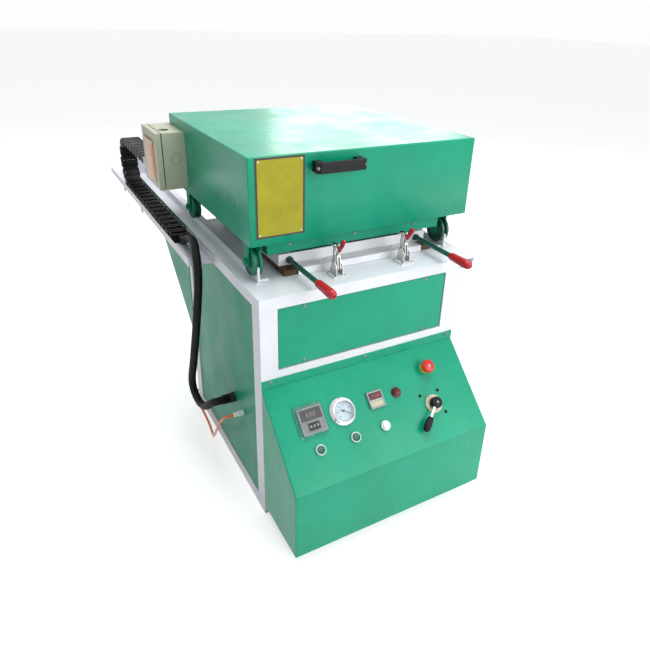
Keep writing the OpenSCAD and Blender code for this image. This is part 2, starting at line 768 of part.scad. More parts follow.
module left_toggle_arm() toggle_arm_body(-1);
module right_toggle_arm() toggle_arm_body(1);

module toggle_link_body(s) color("silver") at_toggle(s)
    for (m = [0, 1]) mirror([m, 0, 0]) difference() {
        bar_plate(link_x, link_t, base_pin, link_pin, 4.4);
        translate([link_x - 1, base_pin[0], base_pin[1]]) rotate([0, 90, 0])
            cylinder(h = link_t + 2, r = toggle_pin_r + run_fit);
        translate([link_x - 1, link_pin[0], link_pin[1]]) rotate([0, 90, 0])
            cylinder(h = link_t + 2, r = toggle_pin_r + link_play);
    }

module left_toggle_link() toggle_link_body(-1);
module right_toggle_link() toggle_link_body(1);

module toggle_handle_body(s) color("crimson") at_toggle(s) {
    lean = [-sin(handle_lean), cos(handle_lean)];
    bar = 40;
    grip = toggle_handle - bar;
    difference() {
        union() {
            bar_plate(-handle_t / 2, handle_t, knee_pin, knee_pin + bar * lean, 4.5);
            bar_plate(-handle_t / 2, handle_t, knee_pin, link_pin, 3.6);
            pin_stub(-link_x - link_t, 2 * (link_x + link_t), link_pin);
        }
        translate([-handle_t, knee_pin[0], knee_pin[1]]) rotate([0, 90, 0])
            cylinder(h = 2 * handle_t, r = toggle_pin_r + run_fit);
    }
    translate([0, knee_pin[0] + bar * lean[0], knee_pin[1] + bar * lean[1]]) rotate([handle_lean, 0, 0])
        rotate_extrude() polygon([[0, -4], [5, -4], [7, 2], [8, 12], [7, grip - 6], [4, grip], [0, grip]]);
}

module left_toggle_handle() toggle_handle_body(-1);
module right_toggle_handle() toggle_handle_body(1);

// Track

module track_rails() color("whitesmoke") {
    stop = [6, 7];
    foot = [22, 9, 2];
    plate = [49, 6];
    plate_out = 39;
    run = track_back - front - rail_start - plate[1] - weld;
    for (s = [0, 1]) {
        x = rail_x[s];
        y0 = front + rail_start;
        outward = s == 0 ? plate_out : plate[0] - plate_out;
        foot_x = s == 0 ? x - rail_t / 2 : x + rail_t / 2 - rail_foot;
        box(x - rail_t / 2, y0, table_z + rail_t + weld, rail_t, run, rail_h - rail_t - weld);
        box(foot_x, y0, table_z, rail_foot, run, rail_t);
        box(foot_x, back + weld, cab_h, rail_foot, track_ext - plate[1] - 2 * weld, table_t - weld);
        stop_y = y0 - stop[1] - weld;
        box(x - stop[0] / 2, stop_y, table_z, stop[0], stop[1], stop_h - stop[0] / 2);
        rod_y(x, stop_y, y0 - weld, table_z + stop_h - stop[0] / 2, stop[0] / 2);
        box(x - foot[0] / 2, stop_y - foot[1] - weld, table_z, foot[0], foot[1], foot[2]);
        box(x - outward, track_back - plate[1], cab_h, plate[0], plate[1], end_plate_h);
    }
}

// Hood

placard_t = 1;
placard_x = 18;
placard_z = 19;
module hood_placard() color("goldenrod")
    box(hood_left + placard_x, hood_front - placard_t, hood_z + placard_z, placard_w, placard_t, placard_h);

module hood_shell() color("mediumseagreen")
    plates([hood_left, hood_front, hood_z], [hood_w, hood_d, hood_h], hood_t, ["x0", "x1", "y0", "y1", "z1"]);

module hood_skirt() color("seagreen") {
    inside = hood_t + weld;
    x0 = hood_left + inside;
    x1 = track_x - skirt_half - weld;
    x2 = track_x + skirt_half + weld;
    y0 = hood_front + inside;
    d = hood_d - 2 * inside;
    ledge_y = skirt_back - inside - weld;
    plates([track_x - skirt_half, hood_front + skirt_back, hood_z - skirt_drop],
        [2 * skirt_half, hood_d - 2 * skirt_back, skirt_drop + hood_t], hood_t, ["x0", "x1", "y0", "y1"]);
    box(x0, y0, hood_z, x1 - x0, d, hood_t);
    box(x2, y0, hood_z, hood_left + hood_w - inside - x2, d, hood_t);
    for (y = [y0, y0 + d - ledge_y]) box(x1 + weld, y, hood_z, x2 - x1 - 2 * weld, ledge_y, hood_t);
}

heater_count = 9;
heater_r = 8;
heater_z = hood_z + 62;
module heater_bank() color("lightgray") {
    inset = 20;
    rail = [12, 48];
    sheet = 3;
    hanger = 16;
    hanger_out = 120;
    x0 = track_x - skirt_half + inset;
    w = 2 * (skirt_half - inset);
    y0 = hood_front + skirt_back + inset;
    d = hood_d - 2 * (skirt_back + inset);
    sheet_z = heater_z + 30;
    hanger_z = sheet_z + sheet + weld;
    box(x0, y0, sheet_z, w, d, sheet);
    for (x = [x0, x0 + w - rail[0]]) box(x, y0, sheet_z - weld - rail[1], rail[0], d, rail[1]);
    for (i = [0:heater_count - 1])
        rod_x(x0 + rail[0] + weld, x0 + w - rail[0] - weld, y0 + d * (i + 0.5) / heater_count, heater_z, heater_r);
    for (s = [-1, 1], y = [y0 + 2 * inset, y0 + d - 2 * inset - hanger])
        box(track_x + s * hanger_out - hanger / 2, y, hanger_z, hanger, hanger, hood_z + hood_h - hood_t - hanger_z);
}

pull_len = 150;
pull_out = 26;
pull_h = 27;
pull_t = 12;
module hood_handle() color("black") {
    foot = 19;
    foot_in = 5.5;
    left_of_middle = 108;
    below_top = 34;
    half = pull_len / 2;
    translate([upper_x - left_of_middle, hood_front, hood_z + hood_h - below_top - pull_h / 2]) {
        for (s = [-1, 1]) translate([s * (half - foot_in - foot / 2) - foot / 2, -pull_out, 0])
            cube([foot, pull_out, pull_h]);
        translate([0, -pull_out - weld, 0]) linear_extrude(pull_h)
            polygon([[-half, 0], [pull_t - half, -pull_t], [half - pull_t, -pull_t], [half, 0]]);
    }
}

module wheel_forks() color("seagreen")
    for (s = [0, 1], y = axle_y) {
        x = rail_x[s];
        out = s == 0 ? -1 : 1;
        gap = wheel_w / 2 + fork_gap;
        for (side_x = [-1, 1]) translate([x + side_x * (gap + fork_t / 2) - fork_t / 2, y, 0])
            rotate([90, 0, 90]) linear_extrude(fork_t) {
                translate([-fork_half, axle_z]) square([2 * fork_half, hood_z - axle_z]);
                translate([0, axle_z]) circle(fork_half);
            }
        rod_x(x - gap, x + gap, y, axle_z, axle_r);
        translate([x + out * (gap + fork_t) + (out < 0 ? -7 : 0), y, axle_z]) rotate([0, 90, 0])
            cylinder(h = 7, r = 10, $fn = 6);
    }

module wheel(s, y) color("darkslategray") translate([rail_x[s], y, axle_z]) rotate([0, 90, 0]) {
    half = wheel_w / 2;
    g = groove_w / 2;
    rotate_extrude() polygon([[axle_r + run_fit, -half], [18, -half], [20, -half + 3], [wheel_r - 8, -half + 3],
        [wheel_r - 6, -half], [wheel_r, -half + 1], [wheel_r, -g - 1], [wheel_r - groove_depth, -g],
        [wheel_r - groove_depth, g], [wheel_r, g + 1], [wheel_r, half - 1], [wheel_r - 6, half],
        [wheel_r - 8, half - 3], [20, half - 3], [18, half], [axle_r + run_fit, half]]);
}
module front_left_wheel() wheel(0, axle_y[0]);
module front_right_wheel() wheel(1, axle_y[0]);
module rear_left_wheel() wheel(0, axle_y[1]);
module rear_right_wheel() wheel(1, axle_y[1]);

// Switch box on the hood's left side

jbox_front = hood_front + 529;
jbox_low = hood_z + 18;
window_w = 105;
window_h = 119;
window_y = jbox_front + 38;
window_z = jbox_low + 25;
hinge_lug = 4;
flap_t = 3;
flap_gap = 0.3;
module switch_box_base() color("beige") {
    depth = jbox_x - jbox_cover_t - weld;
    difference() {
        plates([hood_left - depth, jbox_front, jbox_low], [depth + jbox_t + weld, jbox_y, jbox_z], jbox_t,
            ["y0", "y1", "z0", "z1"]);
        box(hood_left, jbox_front - 1, jbox_low - 1, jbox_t + 1, jbox_y + 2, jbox_z + 2);
        translate([hood_left - depth / 2 - 12, jbox_front + 60, jbox_low + jbox_z - jbox_t - 1])
            cylinder(h = jbox_t + 2, r = jbox_hole_r);
    }
    box(hood_left - jbox_t, jbox_front + jbox_t + weld, jbox_low + jbox_t + weld,
        jbox_t, jbox_y - 2 * (jbox_t + weld), jbox_z - 2 * (jbox_t + weld));
}

module switch_box_cover() color("beige") {
    x0 = hood_left - jbox_x;
    top = window_z + window_h;
    side_w = window_y - jbox_front;
    difference() {
        union() {
            box(x0, jbox_front, jbox_low, jbox_cover_t, side_w, jbox_z);
            box(x0, window_y + window_w, jbox_low, jbox_cover_t, jbox_y - side_w - window_w, jbox_z);
            box(x0, window_y + weld, jbox_low, jbox_cover_t, window_w - 2 * weld, window_z - jbox_low);
            box(x0, window_y + weld, top, jbox_cover_t, window_w - 2 * weld, jbox_low + jbox_z - top);
        }
        box(x0 + jbox_t, jbox_front + jbox_t, jbox_low + jbox_t, jbox_cover_t, jbox_y - 2 * jbox_t, jbox_z - 2 * jbox_t);
    }
    for (y = [window_y - hinge_lug, window_y + window_w]) {
        rod_y(x0 - flap_gap - flap_t, y, y + hinge_lug, top, flap_t);
        box(x0 - flap_gap - flap_t, y, top - flap_t, flap_gap + flap_t, hinge_lug, 2 * flap_t);
    }
    rod_y(x0 - flap_gap - flap_t, window_y - weld, window_y + window_w + weld, top, flap_t / 2);
}

module switch_box_window() color("orange") {
    x0 = hood_left - jbox_x - flap_gap - flap_t;
    top = window_z + window_h;
    y0 = window_y + flap_gap;
    w = window_w - 2 * flap_gap;
    difference() {
        union() {
            box(x0, y0, window_z - hinge_lug, flap_t, w, window_h + hinge_lug);
            rod_y(x0, y0, y0 + w, top, flap_t);
        }
        rod_y(x0, y0 - 1, y0 + w + 1, top, flap_t / 2 + run_fit);
    }
}

// Cable chain: link i of a run, standing with its pins along X

module chain_link() {
    lug_t = 3;
    outer = link_w / 2;
    inner = outer - lug_t - 0.3;
    lug_r = link_h / 2;
    web = 10;
    bar = 0.62 * link_pitch;
    bar_gap = 0.5;
    for (m = [0, 1]) mirror([m, 0, 0]) {
        translate([outer - lug_t, 0, 0]) rotate([90, 0, 90]) linear_extrude(lug_t) {
            translate([0, -lug_r]) square([link_pitch / 2, link_h]);
            translate([link_pitch / 2, 0]) circle(lug_r);
        }
        translate([inner - lug_t, 0, 0]) rotate([90, 0, 90]) linear_extrude(lug_t) {
            translate([-link_pitch / 2, -lug_r]) square([link_pitch / 2, link_h]);
            translate([-link_pitch / 2, 0]) circle(lug_r);
        }
        translate([inner - lug_t, -web / 2, -lug_r]) cube([outer - inner + lug_t, web, link_h]);
    }
    for (z = [-lug_r, lug_r - lug_t]) {
        translate([lug_t - inner, -web / 2, z]) cube([2 * (inner - lug_t), web, lug_t]);
        translate([lug_t + bar_gap - inner, -bar / 2, z]) cube([2 * (inner - lug_t - bar_gap), bar, lug_t]);
    }
}

module chain_lower_run() color("black") {
    for (i = [0:lower_links - 1]) translate([chain_x, bend_y - (i + 0.5) * link_pitch, chain_z]) chain_link();
    translate([chain_x, bend_y - lower_links * link_pitch, chain_z]) chain_end(chain_z - tray_z - panel_t);
}

// The end piece: a plate across the chain and two lugs that reach the end link's pins
module chain_end(low) {
    lug = [4, 8];
    plate_t = 6;
    span = link_w / 2 - 7;
    gap = link_h / 2 + 2;
    translate([-link_w / 2, -gap - plate_t, -low]) cube([link_w, plate_t, low + link_h / 2]);
    for (x = [-span, span - lug[0]]) {
        translate([x, -gap, -lug[1]]) cube([lug[0], gap, 2 * lug[1]]);
        rod_x(x, x + lug[0], 0, 0, lug[1]);
    }
}

module chain_bend() color("black")
    for (i = [0:bend_links - 1]) {
        a = (i + 0.5) * 180 / bend_links;
        translate([chain_x, bend_y, bend_z]) rotate([a, 0, 0]) translate([0, 0, -bend_r]) chain_link();
    }

module chain_upper_run() color("black")
    for (i = [0:upper_links - 1])
        translate([chain_x, bend_y - (i + 0.5) * link_pitch, chain_top]) rotate([180, 0, 0]) chain_link();

module chain_bracket() color("whitesmoke") {
    end_y = bend_y - upper_links * link_pitch;
    plate_t = 6;
    strut = [5, 3];
    flange_w = 40;
    y0 = end_y - link_h / 2 - 2 - plate_t;
    low = chain_top - link_h / 2;
    hood_back = hood_front + hood_d;
    strut_x = hood_left + hood_t + 1;
    plate_x = chain_x + link_w / 2;
    translate([chain_x, end_y, chain_top]) chain_end(link_h / 2);
    box(plate_x, y0, low, strut_x + strut[0] - plate_x, plate_t, link_h);
    box(strut_x, hood_back + strut[1] + weld, low, strut[0], y0 - hood_back - strut[1] - 2 * weld, link_h);
    box(strut_x, hood_back, low, flange_w, strut[1], link_h);
}

tray_tabs = [325, 640];
module cable_tray() color("whitesmoke") {
    arm = 30;
    spacer_y = 12;
    tab = [6, 3, 22];
    sheet = panel_t;
    inner_wall = 3;
    leg_x = -right - sheet - inner_wall;
    box(tray_x, tray_y, tray_z, leg_x - tray_x - weld, tray_len, sheet);
    box(tray_x, tray_y, tray_z + sheet + weld, sheet, tray_len, tray_h - sheet);
    box(leg_x, tray_y, tray_z, inner_wall, tray_len, cab_h - tray_z - 8);
    for (y = [for (t = tray_tabs) back + t]) {
        box(tray_x + tab[0], y, tray_z - tab[1] - weld, leg_x - tray_x - tab[0], arm, tab[1]);
        box(tray_x + tab[0], y, tray_z - tab[1] - tab[2], tab[1], arm, tab[2] - 2 * weld);
    }
    box(-right - sheet, tray_y + spacer_y, cab_h - top_rail_h, sheet, arm, top_rail_h - 8);
}

// Free cords and their glands

module conduit_hose() color("black") swept(finer(hose_path, 3), hose_r, 12);

hose_gland = [37.5, 16];
air_gland = [27.5, 9];
module cable_glands() color("black") {
    inner = panel_inset - right;
    hose_end = hose_path[len(hose_path) - 1];
    rod_x(-right - hose_gland[0], inner, hose_end[1], hose_end[2], hose_gland[1]);
    rod_x(-right - air_gland[0], inner, air_path[0][1], air_path[0][2], air_gland[1]);
}

module air_tube() color("orangered") swept(finer(air_path, 3), tube_r, 8);

module air_tube_coil() color("orangered") translate([coil_centre[0], coil_centre[1], coil_half]) rotate_extrude()
    translate([coil_mid_r, 0]) square(2 * coil_half, center = true);

module air_plug() color("silver") translate([coil_centre[0] + coil_mid_r - 4, coil_centre[1] + coil_half + 4, 0]) {
    rod_x(14, 50, 6, 9, 9);
    rod_x(50, 66, 6, 9, 5);
}

base_frame();
rear_extension();
side_panels();
front_panel();
rear_panel();
console_housing();
table_top();
vacuum_box();
seal_strip();
clamp_hinges();
track_rails();
cable_tray();
chain_lower_run();
conduit_hose();
cable_glands();
air_tube();
air_tube_coil();
air_plug();
temperature_controller();
gauge_case();
gauge_needle();
timer_module();
pilot_lamp();
estop_collar();
estop_button();
button_bezels();
green_button_left();
green_button_right();
white_button();
valve_plate();
valve_lever();
lift_cylinder();
mould_platen();
vacuum_pump();
toggle_bases();
left_toggle_arm();
left_toggle_link();
left_toggle_handle();
right_toggle_arm();
right_toggle_link();
right_toggle_handle();
clamp_frame();
lift_rods();
lift_grips();
hood_shell();
hood_placard();
hood_skirt();
heater_bank();
hood_handle();
wheel_forks();
front_left_wheel();
front_right_wheel();
rear_left_wheel();
rear_right_wheel();
switch_box_base();
switch_box_cover();
switch_box_window();
chain_bracket();
chain_upper_run();
chain_bend();
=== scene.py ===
# %% [markdown]
# # A hobby vacuum forming machine
# The real machine softens a plastic sheet under a heated hood, which then rolls back on rails, and a vacuum pulls
# the sheet over a mould. Its solids come from a CAD model, packed into a frame of bodies and joints. This script
# dresses that frame: painted sheet and tube, instruments, clamps, a cable chain and two cords. Each piece rides on
# one of the frame's bodies, so it moves with it. Lengths are in metres unless a comment says millimetres.

# %% Load the frame
import math

import bmesh
import bpy
import numpy as np
from mathutils import Matrix, Vector


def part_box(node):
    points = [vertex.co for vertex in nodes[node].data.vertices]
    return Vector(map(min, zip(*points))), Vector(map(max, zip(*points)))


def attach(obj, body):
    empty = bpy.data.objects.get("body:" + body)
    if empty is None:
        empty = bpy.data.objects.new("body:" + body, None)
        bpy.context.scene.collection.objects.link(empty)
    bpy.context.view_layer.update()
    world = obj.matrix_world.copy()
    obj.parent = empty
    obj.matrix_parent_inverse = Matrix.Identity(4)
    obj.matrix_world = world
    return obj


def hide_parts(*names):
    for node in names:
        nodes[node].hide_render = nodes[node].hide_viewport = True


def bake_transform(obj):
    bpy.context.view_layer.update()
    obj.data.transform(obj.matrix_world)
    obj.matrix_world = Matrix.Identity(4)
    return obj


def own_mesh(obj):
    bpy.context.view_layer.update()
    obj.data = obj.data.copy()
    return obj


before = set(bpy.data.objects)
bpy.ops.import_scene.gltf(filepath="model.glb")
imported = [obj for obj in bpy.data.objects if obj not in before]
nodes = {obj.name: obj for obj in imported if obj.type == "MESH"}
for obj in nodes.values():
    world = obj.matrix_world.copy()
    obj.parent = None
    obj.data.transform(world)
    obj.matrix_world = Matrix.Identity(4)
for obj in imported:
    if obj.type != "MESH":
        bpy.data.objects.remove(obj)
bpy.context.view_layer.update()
scene = bpy.context.scene
print("CAD nodes:", len(nodes))

# %% [markdown]
# ## Camera
# The camera stands where the photographer stood. Its place, turn and lens were found by fitting the machine's
# straight edges. A small shift makes up for a picture that is cropped off centre. Turning the camera instead would
# make the upright lines converge another way.

# %% Camera
camera = bpy.data.objects.new("camera", bpy.data.cameras.new("camera"))
scene.collection.objects.link(camera)
camera.location = (-0.7917, -1.2152, 1.3588)
camera.rotation_euler = (1.11638, -0.03106, -0.5114)
camera.data.sensor_width = 36
camera.data.lens = 31.911
camera.data.shift_x = -0.01815
camera.data.shift_y = -0.0472
camera.data.clip_start = 0.05
scene.camera = camera
scene.view_settings.view_transform = "Standard"

# %% [markdown]
# ## Lamps
# Three large area lamps make soft studio light. One is overhead and one fills the front. The last stands low behind
# the machine, so that the flat top of the hood mirrors it, as gloss paint does when it is seen at a low angle.


# %% Lamps
def area_light(name, at, aim, size, power):
    lamp = bpy.data.lights.new(name, "AREA")
    lamp.size = size
    lamp.energy = power
    made = bpy.data.objects.new(name, lamp)
    made.location = at
    made.rotation_euler = (Vector(aim) - Vector(at)).to_track_quat("-Z", "Y").to_euler()
    scene.collection.objects.link(made)
    return made


area_light("overhead", (0.5, 0.2, 3.6), (0.1, 0.3, 0.9), 2.4, 86)
area_light("front_fill", (1.6, -3.2, 1.9), (0, 0, 0.5), 2.6, 88)
area_light("back_sheen", (2.9, 4.6, 2.1), (0, 0.4, 1.05), 2.2, 42).visible_camera = False

# %% [markdown]
# ## Shared shader groups
# Paint, plastic and metal all differ a little from spot to spot. A group is made once and used by every material.
# *Mottle* lets a colour wander between two tints. *Skin* varies the gloss and adds a fine bump. Both read Object
# coordinates, so the pattern stays on the piece when it moves.


# %% Making a node group
def new_group(name, ins, outs):
    group = bpy.data.node_groups.new(name, "ShaderNodeTree")
    for label, kind, value in ins:
        socket = group.interface.new_socket(label, in_out="INPUT", socket_type=kind)
        socket.default_value = value
    for label, kind in outs:
        group.interface.new_socket(label, in_out="OUTPUT", socket_type=kind)
    return group, group.nodes.new("NodeGroupInput"), group.nodes.new("NodeGroupOutput")


def wire(tree, kind, ins=(), **settings):
    """Adds a node, sets its options, and joins or sets its inputs."""
    node = tree.nodes.new(kind)
    for key, value in settings.items():
        setattr(node, key, value)
    for key, value in dict(ins).items():
        if isinstance(value, bpy.types.NodeSocket):
            tree.links.new(value, node.inputs[key])
        else:
            node.inputs[key].default_value = value
    return node


# %% The Mottle group
def make_mottle():
    group, start, end = new_group(
        "Mottle",
        [("Low", "NodeSocketColor", (0.1, 0.1, 0.1, 1)), ("High", "NodeSocketColor", (0.2, 0.2, 0.2, 1)),
         ("Scale", "NodeSocketFloat", 6.0)],
        [("Color", "NodeSocketColor")])
    place = wire(group, "ShaderNodeTexCoord").outputs["Object"]
    cloud = wire(group, "ShaderNodeTexNoise", {"Vector": place, "Scale": start.outputs["Scale"],
                                               "Detail": 6.0, "Roughness": 0.62})
    spread = wire(group, "ShaderNodeMapRange", {"Value": cloud.outputs["Fac"], "From Min": 0.32,
                                                "From Max": 0.68})
    mix = wire(group, "ShaderNodeMix", {"Factor": spread.outputs[0], "A": start.outputs["Low"],
                                        "B": start.outputs["High"]}, data_type="RGBA")
    group.links.new(mix.outputs[2], end.inputs["Color"])
    return group


# %% The Skin group
def make_skin():
    group, start, end = new_group(
        "Skin",
        [("Scale", "NodeSocketFloat", 300.0), ("Rough Low", "NodeSocketFloat", 0.3),
         ("Rough High", "NodeSocketFloat", 0.45), ("Bump", "NodeSocketFloat", 0.05)],
        [("Roughness", "NodeSocketFloat"), ("Normal", "NodeSocketVector")])
    place = wire(group, "ShaderNodeTexCoord").outputs["Object"]
    fine = wire(group, "ShaderNodeTexNoise", {"Vector": place, "Scale": start.outputs["Scale"], "Detail": 3.0})
    broad = wire(group, "ShaderNodeTexNoise", {"Vector": place, "Scale": 9.0, "Detail": 4.0})
    rough = wire(group, "ShaderNodeMapRange", {"Value": broad.outputs["Fac"], "From Min": 0.3, "From Max": 0.7,
                                               "To Min": start.outputs["Rough Low"],
                                               "To Max": start.outputs["Rough High"]})
    bump = wire(group, "ShaderNodeBump", {"Height": fine.outputs["Fac"], "Strength": start.outputs["Bump"],
                                          "Distance": 0.001})
    group.links.new(rough.outputs[0], end.inputs["Roughness"])
    group.links.new(bump.outputs[0], end.inputs["Normal"])
    return group


MOTTLE = make_mottle()
SKIN = make_skin()

# %% [markdown]
# ## White surroundings
# The photograph's background is white, but white light from all sides would wash the paint out. So the world and
# the floor show white only to rays that see them directly, in a mirror or through glass. To the rays that carry
# light, the world is dim and the floor is only pale paint, which keeps the machine's shadow.


# %% World and floor
def seen_directly(tree, value):
    """The value for camera, mirror and glass rays, and 0 for the rays that only carry light."""
    path = wire(tree, "ShaderNodeLightPath").outputs
    both = wire(tree, "ShaderNodeMath", {0: path["Is Camera Ray"], 1: path["Is Glossy Ray"]}, operation="MAXIMUM")
    every = wire(tree, "ShaderNodeMath", {0: both.outputs[0], 1: path["Is Transmission Ray"]}, operation="MAXIMUM")
    return wire(tree, "ShaderNodeMath", {0: every.outputs[0], 1: value}, operation="MULTIPLY").outputs[0]


WORLD_LIGHT = 0.4
FLOOR_GLOW = 0.56
FLOOR_HALF = 40
world = bpy.data.worlds.new("studio")
world.use_nodes = True
sky = world.node_tree.nodes["Background"]
sky.inputs[0].default_value = (0.98, 0.99, 1.0, 1)
shown = wire(world.node_tree, "ShaderNodeMath", {0: seen_directly(world.node_tree, 1 - WORLD_LIGHT), 1: WORLD_LIGHT})
world.node_tree.links.new(shown.outputs[0], sky.inputs[1])
scene.world = world

floor_paint = bpy.data.materials.new("pale floor")
floor_paint.use_nodes = True
floor_shader = floor_paint.node_tree.nodes["Principled BSDF"]
floor_shader.inputs["Base Color"].default_value = (0.86, 0.87, 0.87, 1)
floor_shader.inputs["Roughness"].default_value = 0.8
floor_shader.inputs["Specular IOR Level"].default_value = 0.1
floor_shader.inputs["Emission Color"].default_value = (1, 1, 1, 1)
floor_paint.node_tree.links.new(seen_directly(floor_paint.node_tree, FLOOR_GLOW),
                                floor_shader.inputs["Emission Strength"])
floor_mesh = bpy.data.meshes.new("floor")
floor_mesh.from_pydata([(x * FLOOR_HALF, y * FLOOR_HALF, 0) for x, y in ((-1, -1), (1, -1), (1, 1), (-1, 1))], [],
                       [(0, 1, 2, 3)])
floor_mesh.materials.append(floor_paint)
floor = bpy.data.objects.new("floor", floor_mesh)
scene.collection.objects.link(floor)

# %% [markdown]
# ## Materials
# Each material is the two groups and a few numbers: a darker and a lighter tint, how large the mottle is, the range
# of roughness, and the bump with its grain. A number that is the same all over goes on the shader's own socket.


# %% One function for all finishes
def finish(name, low, high, scale=6, rough=(0.3, 0.45), bump=0.05, grain=300, **sockets):
    """A material from the two groups. The other sockets of the shader are set by name."""
    made = bpy.data.materials.new(name)
    made.use_nodes = True
    tree = made.node_tree
    shader = tree.nodes["Principled BSDF"]
    tint = wire(tree, "ShaderNodeGroup", node_tree=MOTTLE)
    tint.inputs["Low"].default_value = (*low, 1)
    tint.inputs["High"].default_value = (*high, 1)
    tint.inputs["Scale"].default_value = scale
    skin = wire(tree, "ShaderNodeGroup", node_tree=SKIN)
    skin.inputs["Scale"].default_value = grain
    skin.inputs["Rough Low"].default_value = rough[0]
    skin.inputs["Rough High"].default_value = rough[1]
    skin.inputs["Bump"].default_value = bump
    tree.links.new(tint.outputs["Color"], shader.inputs["Base Color"])
    tree.links.new(skin.outputs["Roughness"], shader.inputs["Roughness"])
    tree.links.new(skin.outputs["Normal"], shader.inputs["Normal"])
    for key, value in sockets.items():
        shader.inputs[key.replace("_", " ")].default_value = value
    return made


# %% Paints
green = finish("green paint", (0.0015, 0.3, 0.17), (0.005, 0.365, 0.212), 4, (0.24, 0.36), 0.12, 220,
               Specular_IOR_Level=0.28)
# The same green paint made darker: painted shade for the shaded sides, rear panel, recessed hood skirt, wheel forks
# and axle ends.
green_painted_shade = finish("green paint, painted shade", (0.001, 0.235, 0.135), (0.004, 0.3, 0.175), 3, (0.34, 0.46), 0.12, 220,
                    Specular_IOR_Level=0.22)
green_wheel = finish("green paint, wheels", (0.003, 0.13, 0.07), (0.01, 0.24, 0.14), 26, (0.35, 0.5), 0.1,
                     Specular_IOR_Level=0.25)
# Dark green paint of the lift rods; on the front right wheel the same material is painted shade.
rod_green_and_wheel_shade = finish("dark green paint", (0.004, 0.07, 0.045), (0.01, 0.11, 0.07), 20, (0.28, 0.42), 0.08)
white = finish("white paint", (0.74, 0.75, 0.82), (0.86, 0.87, 0.92), 5, (0.38, 0.5), 0.08, 260)
plate_white = finish("table sheet", (0.68, 0.73, 0.8), (0.84, 0.88, 0.93), 3, (0.3, 0.5), 0.04)
bright_white = finish("stop paint", (0.84, 0.86, 0.9), (0.92, 0.93, 0.96), 12, (0.4, 0.5), 0.05)
enamel = finish("yellow enamel", (0.33, 0.3, 0.008), (0.42, 0.38, 0.014), 14, (0.3, 0.4), 0.04,
                Specular_IOR_Level=0.3)
pump_paint = finish("pump paint", (0.06, 0.09, 0.13), (0.09, 0.13, 0.18), 20, (0.4, 0.5), 0.1)

# %% Plastics and rubber
black = finish("black plastic", (0.003, 0.003, 0.004), (0.007, 0.007, 0.009), 40, (0.42, 0.58), 0.18, 900,
               Specular_IOR_Level=0.25)
rubber = finish("black rubber", (0.003, 0.003, 0.0035), (0.006, 0.006, 0.007), 60, (0.5, 0.66), 0.2, 700,
                Specular_IOR_Level=0.2)
seal = finish("seal strip", (0.045, 0.022, 0.01), (0.13, 0.075, 0.04), 40, (0.75, 0.9), 0.5, 300)
beige = finish("beige plastic", (0.44, 0.47, 0.34), (0.5, 0.53, 0.4), 8, (0.4, 0.5), 0.12, 700)
cream = finish("cream plastic", (0.6, 0.54, 0.36), (0.72, 0.67, 0.5), 40, (0.4, 0.5), 0.06)
red = finish("red grip plastic", (0.42, 0.004, 0.014), (0.54, 0.008, 0.022), 30, (0.22, 0.34), 0.03)
yellow = finish("yellow plastic", (0.72, 0.5, 0.02), (0.8, 0.58, 0.03), 40, (0.3, 0.42), 0.04)
orange = finish("orange tube", (0.8, 0.12, 0.02), (0.9, 0.18, 0.03), 50, (0.2, 0.3), 0.02)
orange_strip = finish("orange strip", (0.86, 0.26, 0.03), (0.95, 0.33, 0.045), 30, (0.3, 0.4), 0.02)

# %% Buttons, faces and displays
cap_red = finish("red cap", (0.6, 0.01, 0.008), (0.7, 0.02, 0.014), 40, (0.25, 0.35), 0.03)
cap_green = finish("green cap", (0.002, 0.075, 0.04), (0.004, 0.12, 0.065), 60, (0.25, 0.4), 0.04)
cap_white = finish("white cap", (0.78, 0.86, 0.84), (0.88, 0.93, 0.9), 60, (0.25, 0.35), 0.03)
maroon = finish("maroon lens", (0.1, 0.004, 0.008), (0.16, 0.008, 0.014), 60, (0.12, 0.2), 0.02)
silver_frame = finish("silver frame", (0.3, 0.31, 0.31), (0.4, 0.41, 0.41), 40, (0.35, 0.45), 0.05)
bezel_ring = finish("white bezel", (0.8, 0.84, 0.84), (0.9, 0.93, 0.93), 40, (0.2, 0.3), 0.02)
dark_face = finish("dark face", (0.03, 0.033, 0.036), (0.05, 0.052, 0.056), 60, (0.3, 0.4), 0.04)
grey_face = finish("grey face", (0.25, 0.26, 0.24), (0.31, 0.32, 0.3), 60, (0.35, 0.45), 0.04)
window_tint = finish("display window", (0.05, 0.03, 0.04), (0.07, 0.045, 0.055), 60, (0.12, 0.18), 0.01)
pale_segment = finish("unlit segments", (0.42, 0.3, 0.32), (0.5, 0.36, 0.38), 60, (0.3, 0.4), 0.01)
red_segment = finish("lit segments", (0.36, 0.012, 0.012), (0.45, 0.02, 0.02), 60, (0.3, 0.4), 0.01,
                     Emission_Color=(1, 0.06, 0.04, 1), Emission_Strength=0.25)
dial = finish("dial", (0.7, 0.83, 0.93), (0.8, 0.9, 0.97), 40, (0.4, 0.5), 0.01)
ink = finish("dial ink", (0.02, 0.02, 0.025), (0.04, 0.04, 0.05), 80, (0.5, 0.6), 0.01)

# %% Metals, ceramic and clear plastic
zinc = finish("zinc plate", (0.5, 0.5, 0.48), (0.68, 0.68, 0.66), 60, (0.24, 0.4), 0.06, 800, Metallic=1.0)
chrome = finish("chrome", (0.74, 0.75, 0.77), (0.82, 0.83, 0.85), 30, (0.08, 0.14), 0.01, 500, Metallic=1.0)
dull_steel = finish("worn steel", (0.16, 0.16, 0.16), (0.34, 0.34, 0.33), 30, (0.4, 0.6), 0.15, 300, Metallic=1.0)
alloy = finish("machined alloy", (0.55, 0.56, 0.57), (0.64, 0.65, 0.66), 16, (0.32, 0.44), 0.05, 600,
               Metallic=1.0)
brass = finish("brass pin", (0.55, 0.4, 0.16), (0.65, 0.5, 0.22), 60, (0.3, 0.4), 0.03, Metallic=1.0)
heat_steel = finish("heater steel", (0.3, 0.27, 0.24), (0.46, 0.44, 0.42), 20, (0.4, 0.6), 0.1, Metallic=1.0)
